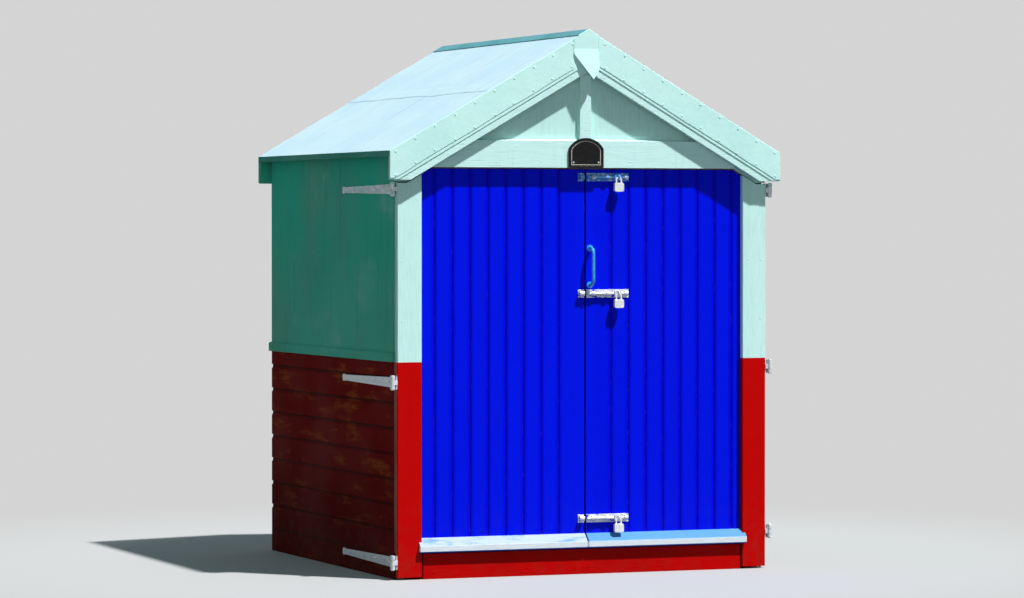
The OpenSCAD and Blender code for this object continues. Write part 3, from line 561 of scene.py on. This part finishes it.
def softwood(name, along, seed, pale=pale_wood, ring=ring_wood, board=None, joined=False):
    """Sawn timber along an axis. board is the width of boards side by side along X, joined paints dark lines
    between them, painted shade in the gaps."""
    look = Look(name)
    arris = look.soft_edges(0.002)
    stretch = [0.09 if axis != along else 2.4 for axis in "XYZ"]
    shifted = look.vectors("ADD", look.place, (seed,) * 3)[0]
    drawn = look.node("ShaderNodeMapping", {0: shifted, "Scale": [1 / (s * 0.3) for s in stretch]})[0]
    bent = look.vectors("ADD", drawn, look.noise(0.5, stretch, 2.0, 0.5, seed))[0]
    rings = look.node("ShaderNodeTexWave", {"Vector": bent, "Scale": 1.5, "Distortion": 1.6, "Detail": 1.0},
                        wave_type="RINGS")["Fac"]
    fibre = look.noise(0.01, [12 if s > 1 else 0.36 for s in stretch], 4.0, 0.6, seed + 1)
    cells = look.node("ShaderNodeTexVoronoi", {"Vector": drawn, "Scale": 0.55, "Randomness": 1.0})[0]
    tone = look.mix(look.step(rings, 0.2, 0.9, 0.0, 0.75), pale, ring)
    tone = look.mix(look.step(fibre, 0.45, 0.75, 0.0, 0.4), tone, ring)
    tone = look.mix(look.step(cells, 0.045, 0.02, 0.0, 0.85), tone, knot_brown)
    tone = look.mix(look.times(arris, 0.2), tone, grime)
    if board:
        place = look.maths("DIVIDE", look.x, board)
        tone = look.mix(look.times(look.board_shade(place), 0.35), tone, ring)
    if joined:
        # painted shade in the gaps between the boards
        gap = look.step(look.off_centre(place), 0.5 - 0.0032 / board, 0.5 - 0.0014 / board)
        tone = look.mix(gap, tone, gap_shade)
        look.relief(look.less(1.0, gap), 0.003)
    look.relief(fibre, 0.0008)
    return look.done(tone, look.step(fibre, 0.3, 0.8, 0.62, 0.82))


coat(softwood("sawn timber upright", "Z", 31.0), "wall_posts")
coat(softwood("sawn timber along", "Y", 32.0), "wall_rails", "ridge_beam")
coat(softwood("sawn timber across", "X", 33.0), "head_beam", "rafters", "floor_joists", "*_door_ledges")
coat(softwood("roof boarding", "Y", 34.0, board=roof_board_width, joined=True), "*_roof_boards")
floor_low, floor_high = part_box("floor_boards")
floor_count = 16
floor_pitch = (floor_high.x - floor_low.x) / floor_count
floor_wood = softwood("worn floor boards", "Y", 35.0, worn_wood, worn_ring, board=floor_pitch)
coat(floor_wood, "floor_boards")

# %% [markdown]
# ## Iron, steel and enamel
# The bands, plates and bolts are dipped in zinc, which freezes in flat crystals a few millimetres across.
# Rust starts in spots. The padlocks are brighter, drawn steel, the bow handle is iron under sky blue paint,
# and the plate over the doors is black enamel with nothing on it but a lining line.

# %% Metals
zinc_light, zinc_dark, zinc_rubbed = srgb(236, 239, 242), srgb(196, 201, 207), srgb(246, 248, 250)
steel_light, steel_dark, steel_rubbed = srgb(248, 249, 250), srgb(214, 217, 220), srgb(250, 250, 250)
handle_light, handle_and_top_bolt_shade_blue, handle_bare = srgb(56, 176, 246), srgb(14, 140, 224), srgb(70, 72, 74)
rust = srgb(120, 62, 30)
zinc_metallic, steel_metallic = 0.25, 0.45
bolt_face_y = face_y - 0.003
top_band_low, top_bolt_low = 1.6, 1.7


def zinc_dip(name, shape=None):
    """Dipped zinc gone dull, with spots of rust; shape may paint over parts of it."""
    look = Look(name)
    arris = look.soft_edges(0.0012)
    small = look.node("ShaderNodeMapping", {0: look.place, "Scale": (150,) * 3})[0]
    crystals = look.node("ShaderNodeTexVoronoi", {"Vector": small, "Scale": 1.0})["Color"]
    cell = look.node("ShaderNodeSeparateColor", {0: crystals})[0]
    cloud = look.noise(0.03, detail=5.0, rough=0.65, seed=40.0)
    spots = look.step(cloud, 0.60, 0.70)
    tone = look.mix(look.times(cell, 0.8), zinc_light, zinc_dark)
    tone = look.mix(look.times(spots, 0.55), tone, rust)
    tone = look.mix(look.times(arris, 0.25), tone, zinc_rubbed)
    look.relief(cloud, 0.0006)
    rough = look.maths("MAXIMUM", look.step(cell, 0.0, 1.0, 0.36, 0.5), look.times(spots, 0.85))
    if not shape:
        return look.done(tone, rough, {"Metallic": zinc_metallic})
    tone, painted = shape(look, tone)
    # painted counts real paint and, on the top bolt, painted shade; neither shows as metal
    metallic = look.times(look.less(1.0, painted), zinc_metallic)
    return look.done(tone, rough, {"Metallic": metallic, "Specular IOR Level": 0.12})


def plate_touched(look, zinc):
    """The doors' brush left some blue on the back plates; the top bolt is laid over in sky blue as painted
    shade, for the shadow it lies in under the head board.
    """
    on_plate = look.step(look.y, bolt_face_y - 0.0006, bolt_face_y - 0.0001)
    touched = look.times(on_plate, look.patches(0.58, 0.64, 0.02, (2, 1, 1), 4.0, 0.6, 41.0))
    # painted shade: the top bolt is laid over in sky blue for the shadow under the head board
    top_bolt_shade = look.patches(0.34, 0.48, 0.03, (1.5, 1, 1), 4.0, 0.6, 42.0, most=0.85)
    top_bolt_shade = look.times(look.maths("GREATER_THAN", look.z, top_bolt_low), top_bolt_shade)
    tone = look.mix(touched, look.mix(top_bolt_shade, zinc, handle_and_top_bolt_shade_blue), door_blue)
    return tone, look.maths("MAXIMUM", touched, top_bolt_shade)


def brushed_over(look, zinc):
    """The top bands were brushed over with the wall paint, which has half worn off again."""
    left_on = look.patches(0.42, 0.60, 0.05, (1, 1.5, 0.4), 5.0, 0.65, 48.0, most=0.6)
    painted = look.times(look.maths("GREATER_THAN", look.z, top_band_low), left_on)
    return look.mix(painted, zinc, chalk), painted


iron = zinc_dip("galvanised iron")
coat(zinc_dip("galvanised bands", brushed_over), "*_hinge_*")
coat(zinc_dip("galvanised bolt", plate_touched), "bolt_keepers", "pad_bolts")

# %% Steel and handle paint
look = Look("bright lock steel")
arris = look.soft_edges(0.0012)
brushed = look.noise(0.002, (8, 1, 0.4), 4.0, 0.6, 43.0)
tone = look.mix(look.patches(0.4, 0.8, 0.015, seed=44.0, most=0.7), steel_light, steel_dark)
tone = look.mix(look.times(arris, 0.3), tone, steel_rubbed)
look.relief(brushed, 0.0001)
steel = look.done(tone, look.step(brushed, 0.3, 0.7, 0.24, 0.40), {"Metallic": steel_metallic})
coat(steel, "padlocks")

look = Look("sky blue handle paint")
look.soft_edges(0.001)
cloud = look.noise(0.02, detail=5.0, rough=0.6, seed=46.0)
tone = look.mix(look.step(cloud, 0.35, 0.7), handle_light, handle_and_top_bolt_shade_blue)
tone = look.mix(look.patches(0.62, 0.68, 0.008, rough=0.7, seed=47.0, most=0.7), tone, handle_bare)
look.relief(cloud, 0.0004)
handle_paint = look.done(tone, look.step(cloud, 0.3, 0.7, 0.25, 0.42), {"Coat Weight": 0.2})
coat(handle_paint, "pull_handle")

# %% Enamel
enamel_black, enamel_grey, enamel_rim = srgb(8, 8, 10), srgb(48, 50, 52), srgb(150, 154, 150)
lining_cream = srgb(214, 208, 186)
plate_low, plate_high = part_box("number_plate")
plate_recess = 0.003
arch_radius = 0.099
lining_at, lining_width = 0.0145, 0.0026

look = Look("black enamel")
arris = look.soft_edges(0.0012)
cloud = look.noise(0.03, detail=5.0, rough=0.6, seed=50.0)
field = look.step(look.less(look.y, plate_low.y), plate_recess - 0.0006, plate_recess - 0.0002)
beside = look.less(plate_high.x, look.apart(look.x))
above = look.less(look.z, plate_low.z)
up = look.less(look.z, plate_high.z - arch_radius)
from_centre = look.vectors("LENGTH", look.node("ShaderNodeCombineXYZ", {0: look.x, 1: up})[0])["Value"]
inside = look.maths("MINIMUM", look.maths("MINIMUM", beside, above), look.less(arch_radius, from_centre))
line = look.step(look.apart(inside, lining_at), lining_width * 0.6, lining_width * 0.45)
worn = look.patches(0.34, 0.42, 0.006, rough=0.7, seed=52.0)
tone = look.mix(look.step(cloud, 0.5, 0.8, 0.0, 0.3), enamel_black, enamel_grey)
tone = look.mix(look.times(look.times(line, field), worn), tone, lining_cream)
tone = look.mix(look.times(arris, 0.5), tone, enamel_rim)
look.relief(cloud, 0.0003)
enamel = look.done(tone, look.step(cloud, 0.3, 0.7, 0.22, 0.4), {"Specular IOR Level": 0.25})
coat(enamel, "number_plate")

# %% [markdown]
# ## Heads of nails and screws, set out along lines
# A carpenter strikes a line and nails along it at an even pitch. A Geometry Nodes tree does the same: it
# takes lines drawn as edges, sets a head at every pitch along each, turns it to face the way that the line's
# points say, and gives it a small turn and shift of its own. It ends in Realize Instances, so each row
# becomes one plain mesh.

# %% Shapes of the heads
def solid(name, *stacks):
    """Closed shapes in one mesh. A stack is a list of equal rings of points, joined ring to ring."""
    mesh = bpy.data.meshes.new(name)
    made = bmesh.new()
    for stack in stacks:
        rings = [[made.verts.new(point) for point in ring] for ring in stack]
        count = len(rings[0])
        for first, second in zip(rings, rings[1:]):
            for i in range(count):
                j = (i + 1) % count
                made.faces.new((first[i], first[j], second[j], second[i]))
        made.faces.new(reversed(rings[0]))
        made.faces.new(rings[-1])
    bmesh.ops.recalc_face_normals(made, faces=made.faces)
    made.to_mesh(mesh)
    made.free()
    print(name, len(mesh.polygons), "faces")
    return bpy.data.objects.new(name, mesh)


def circle(radius, height, sides):
    """A level ring of points round the origin."""
    angles = [2 * math.pi * i / sides for i in range(sides)]
    return [(radius * math.cos(a), radius * math.sin(a), height) for a in angles]


clout_profile = ((0.9, -0.6), (1.0, 0.2), (0.92, 0.75), (0.5, 1.0))
dome_profile = ((1.0, -0.3), (1.0, 0.1), (0.86, 0.55), (0.55, 0.88), (0.2, 1.0))
clout_head = solid("clout_head", [circle(radius, height, 10) for radius, height in clout_profile])
dome_head = solid("dome_head", [circle(radius, height, 14) for radius, height in dome_profile])

# a flat screw head: two raised halves with a slot between them, on one round base
sides, slot, neck = 6, math.asin(0.11), 0.35
arc = [slot + (math.pi - 2 * slot) * i / sides for i in range(sides + 1)]
halves = []
for way in (1, -1):
    foot = [(way * math.cos(a), way * math.sin(a), neck) for a in arc]
    rim = [(way * 0.94 * math.cos(a), way * (0.94 * math.sin(a) + 0.02), 1.0) for a in arc]
    halves.append([foot, rim])
screw_head = solid("screw_head", *halves, [circle(1.0, height, 2 * sides) for height in (-0.5, neck)])

# %% The tree that sets heads along lines
def open_tree(name, made, **inputs):
    """An empty tree with named inputs, and the outputs that hand them on."""
    tree = bpy.data.node_groups.new(name, "GeometryNodeTree")
    for key, kind in inputs.items():
        tree.interface.new_socket(key, in_out="INPUT", socket_type="NodeSocket" + kind)
    tree.interface.new_socket(made, in_out="OUTPUT", socket_type="NodeSocketGeometry")
    return tree, tree.nodes.new("NodeGroupInput").outputs


def close_tree(tree, instances, finish):
    """Turns the instances into plain geometry with a finish, and hands it out."""
    real = add_node(tree, "GeometryNodeRealizeInstances", {0: instances})[0]
    finished = add_node(tree, "GeometryNodeSetMaterial", {"Geometry": real, "Material": finish})[0]
    wire(tree, tree.nodes.new("NodeGroupOutput").inputs, {0: finished})
    print(tree.name, len(tree.nodes), "nodes")


rows, given = open_tree("heads_along_lines", "Heads", Lines="Geometry", Head="Object", Pitch="Float",
                        Width="Float", Height="Float", Wander="Float", Seed="Int", Finish="Material")
full_turn = 6.283
drawn = add_node(rows, "GeometryNodeMeshToCurve", {"Mesh": given["Lines"]})[0]
every = {"Curve": drawn, "Length": given["Pitch"]}
points = add_node(rows, "GeometryNodeCurveToPoints", every, mode="LENGTH")[0]
facing = add_node(rows, "GeometryNodeInputNamedAttribute", {"Name": "facing"}, data_type="FLOAT_VECTOR")[0]
either_way = {"Min": (-1, -1, -1), "Max": (1, 1, 1), "Seed": given["Seed"]}
shift = add_node(rows, "FunctionNodeRandomValue", either_way, data_type="FLOAT_VECTOR")[0]
across = add_node(rows, "ShaderNodeVectorMath", {0: shift, 1: facing}, operation="CROSS_PRODUCT")[0]
stray = add_node(rows, "ShaderNodeVectorMath", {0: across, "Scale": given["Wander"]}, operation="SCALE")[0]
moved = add_node(rows, "GeometryNodeSetPosition", {"Geometry": points, "Offset": stray})[0]
upright = add_node(rows, "FunctionNodeAlignRotationToVector", {"Vector": facing}, axis="Z")[0]
spin = add_node(rows, "FunctionNodeRandomValue", {2: 0.0, 3: full_turn, "Seed": given["Seed"]})[1]
twist = add_node(rows, "FunctionNodeAxisAngleToRotation", {"Axis": (0, 0, 1), "Angle": spin})[0]
turned = add_node(rows, "FunctionNodeRotateRotation", {0: upright, 1: twist}, rotation_space="LOCAL")[0]
radius = add_node(rows, "ShaderNodeMath", {0: given["Width"], 1: 0.5}, operation="MULTIPLY")[0]
size = add_node(rows, "ShaderNodeCombineXYZ", {0: radius, 1: radius, 2: given["Height"]})[0]
head = add_node(rows, "GeometryNodeObjectInfo", {"Object": given["Head"]})["Geometry"]
placed = {"Points": moved, "Instance": head, "Rotation": turned, "Scale": size}
close_tree(rows, add_node(rows, "GeometryNodeInstanceOnPoints", placed)[0], given["Finish"])


# %% Set heads and join them to a body
def grown(name, mesh, tree, values):
    """The plain mesh that a tree grows from a mesh, with its inputs set by name."""
    piece = bpy.data.objects.new(name, mesh)
    scene.collection.objects.link(piece)
    modifier = piece.modifiers.new("tree", "NODES")
    modifier.node_group = tree
    for item in tree.interface.items_tree:
        if item.in_out == "INPUT" and item.name in values:
            modifier[item.identifier] = values[item.name]
    graph = bpy.context.evaluated_depsgraph_get()
    plain_mesh = bpy.data.meshes.new_from_object(piece.evaluated_get(graph))
    piece.modifiers.clear()
    piece.data = plain_mesh
    plain_mesh.name = name
    return piece


def join_to(piece, body):
    """Lets a piece move with a body."""
    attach(piece, body)
    print(piece.name, len(piece.data.polygons), "faces on", body)


def set_heads(name, lines, head, finish, width, height, seed, body="hut", pitch=1.0, wander=0.0):
    """Lines are (start, end, facing). A line shorter than the pitch gets one head at its start."""
    mesh = bpy.data.meshes.new(name + "_lines")
    ends = [end for line in lines for end in line[:2]]
    mesh.from_pydata(ends, [(2 * i, 2 * i + 1) for i in range(len(lines))], [])
    facing = [value for line in lines for value in line[2] * 2]
    mesh.attributes.new("facing", "FLOAT_VECTOR", "POINT").data.foreach_set("vector", facing)
    piece = grown(name, mesh, rows, {"Head": head, "Pitch": pitch, "Width": width, "Height": height,
                                     "Wander": wander, "Seed": seed, "Finish": finish})
    join_to(piece, body)


def nails(name, lines, finish, width, height, pitch, wander, seed, body="hut"):
    """Clout nails along lines, each struck within a small distance of its place."""
    set_heads(name, lines, clout_head, finish, width, height, seed, body, pitch, wander)


# %% [markdown]
# ## Floor boards, laid side by side
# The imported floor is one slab. A real one is laid board by board, with a gap that a coin drops through,
# arrises eased by sandy feet, and no two boards quite level. One board is made in mesh code, and a small
# tree lays it at every pitch, each board a random fraction of a millimetre lower than the slab's top.

# %% One board
floor_gap, floor_drop, ease = 0.003, 0.0008, 0.003
half, top, low = (floor_pitch - floor_gap) / 2, floor_high.z, floor_low.z
profile = ((half, low), (half, top - ease), (half - 0.3 * ease, top - 0.3 * ease), (half - ease, top))
section = [(-half, low), *profile, *[(-x, z) for x, z in reversed(profile[1:])]]
board = solid("floor_board", [[(x, y, z) for x, z in section] for y in (floor_low.y, floor_high.y)])

# %% The tree that lays boards
laying, given = open_tree("boards_side_by_side", "Boards", Board="Object", Count="Int", First="Vector",
                          Step="Vector", Drop="Float", Seed="Int", Finish="Material")
line = {"Count": given["Count"], "Start Location": given["First"], "Offset": given["Step"]}
places = add_node(laying, "GeometryNodeMeshLine", line, mode="OFFSET")[0]
fall = add_node(laying, "FunctionNodeRandomValue", {3: given["Drop"], "Seed": given["Seed"]})[1]
down = add_node(laying, "ShaderNodeVectorMath", {0: (0, 0, -1), "Scale": fall}, operation="SCALE")[0]
settled = add_node(laying, "GeometryNodeSetPosition", {"Geometry": places, "Offset": down})[0]
laid = add_node(laying, "GeometryNodeObjectInfo", {"Object": given["Board"]})["Geometry"]
laid = add_node(laying, "GeometryNodeInstanceOnPoints", {"Points": settled, "Instance": laid})[0]
close_tree(laying, laid, given["Finish"])

# %% Lay the floor
planks = grown("floor_planks", bpy.data.meshes.new("floor_planks_seed"), laying, {
    "Board": board, "Count": floor_count, "First": (floor_low.x + floor_pitch / 2, 0, 0),
    "Step": (floor_pitch, 0, 0), "Drop": floor_drop, "Seed": 31, "Finish": floor_wood,
})
join_to(planks, "hut")
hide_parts("floor_boards")

# %% [markdown]
# ## Clout nails in the felt
# Felt is held by short nails with broad heads along every free edge: the folds over the bargeboards, the
# turned-down eaves and both sides of the ridge strip. They are painted over with the felt.

# %% Felt nails
to_front, to_back, to_right, upwards = (0, -1, 0), (0, 1, 0), (1, 0, 0), (0, 0, 1)
roof_angle = math.radians(30)
felt_ridge_z = 2.5003
upper_layer = 0.002
felt_end = 0.93
up_slope = (math.sin(roof_angle), 0, math.cos(roof_angle))


def felt_z(x):
    """Height of the felt's upper face."""
    return felt_ridge_z - abs(x) * math.tan(roof_angle)


def slope_row(near, out, y, down, facing):
    """A line that follows the slope, some way down from the felt's upper face."""
    return (near, y, felt_z(near) - down), (out, y, felt_z(out) - down), facing


def on_both_sides(lines):
    """The lines and their mirror images across the middle of the hut."""
    return lines + [((-a[0], *a[1:]), (-b[0], *b[1:]), (-f[0], *f[1:])) for a, b, f in lines]


fold_rows = [slope_row(side * 0.082, side * 0.94, face, down, facing)
             for face, facing in ((fold_front - upper_layer, to_front), (-fold_front, to_back))
             for side in (1, -1) for down in (0.018, 0.125)]
eave_z = felt_z(eave_x) - 0.012
eave_rows = [((eave_x, -felt_end, eave_z), (eave_x, felt_end, eave_z), to_right)]
strip_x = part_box("ridge_strip")[1].x - 0.012
strip_z = felt_z(strip_x) + 0.0036
strip_rows = [((strip_x, -felt_end, strip_z), (strip_x, felt_end, strip_z), up_slope)]
nails("felt_fold_nails", fold_rows, roof_felt, 0.011, 0.0014, 0.105, 0.004, 3)
nails("eave_nails", on_both_sides(eave_rows), roof_felt, 0.010, 0.0005, 0.15, 0.002, 4)
nails("ridge_strip_nails", on_both_sides(strip_rows), ridge_shade_felt, 0.011, 0.0014, 0.10, 0.003, 5)

# %% [markdown]
# ## Nails in the walls
# Each shiplap board is nailed to every post that it crosses. The sheets above are pinned down their studs.

# %% Wall nails
wall_foot, wall_top = (corner.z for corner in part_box("left_wall_panel"))
wall_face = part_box("right_wall_panel")[1].x
back_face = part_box("back_wall_panel")[1].y
stud_places, back_places = (-0.846, 0.0, 0.879), (-0.86, 0.0, 0.86)
pin_low = wall_foot + 0.09
courses = [shiplap_bottom + course * board_rise + 0.028 for course in range(8)]
courses = [z for z in courses if z < wall_foot - 0.03]


def spots(places, facing):
    """Lines so short that they get one head each."""
    return [(place, (*place[:2], place[2] + 0.0001), facing) for place in places]


side_boards = on_both_sides(spots([(wall_face, y, z) for y in stud_places for z in courses], to_right))
back_boards = spots([(x, back_face, z) for x in back_places for z in courses], to_back)
side_sheets = on_both_sides([((wall_face, y, pin_low), (wall_face, y, wall_top - 0.14), to_right)
                             for y in stud_places])
back_sheets = [((x, back_face, pin_low), (x, back_face, felt_z(x) - 0.16), to_back) for x in back_places]
nails("shiplap_nails", side_boards + back_boards, red_shiplap, 0.008, 0.0012, 0.5, 0.004, 6)
nails("sheet_nails", side_sheets + back_sheets, sheet_paint, 0.007, 0.0010, 0.16, 0.003, 7)

# %% [markdown]
# ## Laps in the felt
# A slope is longer than a roll of felt is wide, so it has two courses, the upper one lapped over the lower.
# Only its edge shows, cut by hand and wandering a little. On the front bargeboards a second layer was folded
# over the first and stops short of it. All are closed strips, joined from section to section.

# %% Felt laps
lap_x, lap_fade_x, lap_step = 0.50, 0.43, 0.0020
verge_y = board_front - 0.0005
layer_depth = 0.119 / math.cos(roof_angle)
layer_low = 1.817
sunk = 0.001
lap_steps = 60


def wandering(position, size, reach, seed):
    """A hand-cut edge's shift at a place along it."""
    return reach * noise.noise(Vector((position / size, seed, 0.5)))


def lap_section(side, y):
    """The upper course's end: it rises out of the felt and drops at its cut edge."""
    edge = lap_x + wandering(y, 0.22, 0.007, side)
    bulge = lap_step + wandering(y, 0.15, 0.0008, side + 9)
    faded, cut = ((lap_fade_x, -sunk), (lap_fade_x, 0.0002)), ((edge, bulge * 0.35), (edge, -sunk))
    return [(side * x, y, felt_z(x) + rise) for x, rise in (*faded, (edge - 0.006, bulge), *cut)]


def fold_section(side, x):
    """The second layer on the front fold."""
    low = max(felt_z(x) - layer_depth + wandering(x, 0.1, 0.003, side + 3), layer_low)
    top = felt_z(x) - sunk
    profile = ((0.0, low), (upper_layer, low + 0.0006), (upper_layer, top - 0.001), (0.0, top))
    return [(side * x, fold_front - proud, z) for proud, z in profile]


for name, section, side, start, end in (
    ("left_felt_lap", lap_section, -1, -verge_y, verge_y),
    ("right_felt_lap", lap_section, 1, -verge_y, verge_y),
    ("left_fold_upper_layer", fold_section, -1, 0.0755, eave_x - 0.001),
    ("right_fold_upper_layer", fold_section, 1, 0.0495, eave_x - 0.001),
):
    strip = solid(name, [section(side, start + (end - start) * i / lap_steps) for i in range(lap_steps + 1)])
    strip.data.materials.append(roof_felt)
    scene.collection.objects.link(strip)
    join_to(strip, "hut")

# %% [markdown]
# ## Nails in the trims and the doors
# The trims are nailed at wider pitches, and the heads were painted over, so they stand only a fraction of a
# millimetre proud. Each door board is nailed to the three ledges behind it.

# %% Trim and door nails
trim_face, threshold_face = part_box("gable_trim")[0].y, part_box("threshold_beam")[0].y
barge_down = 0.148 / math.cos(roof_angle)
batten_high, batten_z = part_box("cover_battens")[1], 1.006
corner_face, corner_lines = -0.915, (0.822, 0.890)
ledge_heights = (0.212, 0.960, 0.995, 1.750, 1.785)


def level_rows(heights, y, start, end, facing=to_front):
    """Lines along X at some heights on an upright face."""
    return [((start, y, z), (end, y, z), facing) for z in heights]


trim_rows = level_rows([1.894], trim_face, -0.66, 0.66) + level_rows([1.966], trim_face, -0.56, 0.56)
trim_rows.append(((0.0, trim_face, 2.04), (0.0, trim_face, 2.30), to_front))
barge_rows = on_both_sides([slope_row(0.08, 0.88, -board_front, barge_down, to_front)])
batten_rows = on_both_sides([((batten_high.x, -0.84, batten_z), (batten_high.x, 0.88, batten_z), to_right)])
batten_rows += level_rows([batten_z], batten_high.y, -0.86, 0.86, to_back)
threshold_rows = level_rows([0.030, 0.082], threshold_face, -0.74, 0.74)
nails("gable_trim_nails", trim_rows, level_mint, 0.007, 0.0006, 0.20, 0.004, 8)
nails("bargeboard_nails", barge_rows, level_mint, 0.007, 0.0006, 0.27, 0.003, 9)
nails("cover_batten_nails", batten_rows, sheet_paint, 0.007, 0.0008, 0.21, 0.003, 10)
nails("threshold_nails", threshold_rows, red_front, 0.009, 0.0008, 0.37, 0.005, 11)
for side, sign, seed in (("right", 1, 12), ("left", -1, 13)):
    lines = [((sign * x, corner_face, 0.06), (sign * x, corner_face, 1.72), to_front) for x in corner_lines]
    nails(side + "_corner_nails", lines, corner_paint, 0.008, 0.0007, 0.24, 0.004, seed, side + "_door")
for side, start, end, seed in (("right", 0.1855, 0.7075, 14), ("left", -0.1615, -0.7705, 15)):
    lines = level_rows(ledge_heights, face_y, start, end)
    nails(side + "_board_nails", lines, door_paint, 0.006, 0.0006, board_width, 0.006, seed, side + "_door")

# %% Nails indoors
joist_places = (-0.401, 0.021, 0.443)
ledge_lines = (0.165, 0.213, 0.955, 1.000, 1.742, 1.790)
ledge_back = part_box("right_door_ledges")[1].y
floor_nail_z = floor_high.z - floor_drop
spans = [(side * 0.5 * floor_pitch + way, side * 7.6 * floor_pitch + way) for side in (-1, 1)
         for way in (-0.03, 0.03)]
floor_rows = [((near, y, floor_nail_z), (out, y, floor_nail_z), upwards) for y in joist_places
              for near, out in spans]
nails("floor_nails", floor_rows, iron, 0.007, floor_drop + 0.0002, floor_pitch, 0.003, 32)
for side, start, end, seed in (("right", 0.0985, 0.7945, 33), ("left", -0.0745, -0.7705, 34)):
    lines = level_rows(ledge_lines, ledge_back, start, end, to_back)
    nails(side + "_ledge_nails", lines, iron, 0.006, 0.0008, board_width, 0.004, seed, side + "_door")

# %% [markdown]
# ## Bolts and screws of the iron work
# The bands take domed coach bolts near the fork, where the pull is, and slotted screws to the tip. The
# plates, bolts, keepers and handle are screwed, and the padlocks are riveted, with a keyway from below. The
# same tree sets these heads, one a line.

# %% Iron work
left_heights, right_heights = (0.078, 0.893, 1.7687), (0.173, 0.945, 1.7687)
bolt_heights, bolt_screw_places = (0.254, 1.290, 1.826), (0.029, 0.078, 0.136, 0.196)
band_face, plate_face = 0.920, 0.919
coach_places, screw_places, flap_place = (-0.815, -0.620), (-0.470, -0.320, -0.195), (-0.9025,)
lock_x, lock_axis_y, lock_low = 0.168, -0.919, 0.0662
lock_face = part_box("padlocks")[0].y
handle_foot_y = -0.894
plate_screw_z = 1.893


def on_side(sign, face, places, heights, rises=(0.0,)):
    """Spots on the iron work of one side."""
    x = sign * face
    return spots([(x, y, z + rise) for z in heights for y in places for rise in rises], (sign, 0, 0))


def on_front(places, y, heights, rises=(0.0,)):
    """Spots on a face that looks to the front."""
    return spots([(x, y, z + rise) for z in heights for x in places for rise in rises], to_front)


coach_bolts, band_screws = (
    on_side(-1, band_face, places, left_heights) + on_side(1, band_face, places, right_heights)
    for places in (coach_places, screw_places))
set_heads("hinge_coach_bolts", coach_bolts, dome_head, iron, 0.018, 0.004, 16)
set_heads("hinge_band_screws", band_screws, screw_head, iron, 0.011, 0.0014, 17)
for side, sign, heights, seed in (("left", -1, left_heights, 18), ("right", 1, right_heights, 19)):
    flaps = on_side(sign, plate_face, flap_place, heights, (-0.022, 0.022))
    set_heads(side + "_plate_screws", flaps, screw_head, iron, 0.008, 0.0010, seed, side + "_door")
set_heads("bolt_plate_screws", on_front(bolt_screw_places, bolt_face_y, bolt_heights, (-0.0145, 0.0145)),
          screw_head, iron, 0.007, 0.0010, 20, "right_door")
set_heads("keeper_screws", on_front((-0.009,), bolt_face_y, bolt_heights, (-0.0155, 0.0155)),
          screw_head, iron, 0.006, 0.0010, 21, "left_door")
lock_feet, rivet_places = [z - lock_low for z in bolt_heights], (lock_x - 0.0165, lock_x + 0.0165)
set_heads("padlock_rivets", on_front(rivet_places, lock_face, lock_feet, (0.007, 0.033)),
          dome_head, steel, 0.0050, 0.0007, 22, "right_door")
set_heads("padlock_keyways", spots([(lock_x, lock_axis_y, z) for z in lock_feet], (0, 0, -1)),
          screw_head, steel, 0.013, 0.0012, 23, "right_door")
set_heads("handle_screws", on_front((0.0235, 0.0465), handle_foot_y, (1.330, 1.500)),
          dome_head, handle_paint, 0.0052, 0.0009, 24, "right_door")
set_heads("number_plate_screws", on_front((-0.062, 0.062), plate_low.y + plate_recess, (plate_screw_z,)),
          screw_head, iron, 0.009, 0.0014, 25)
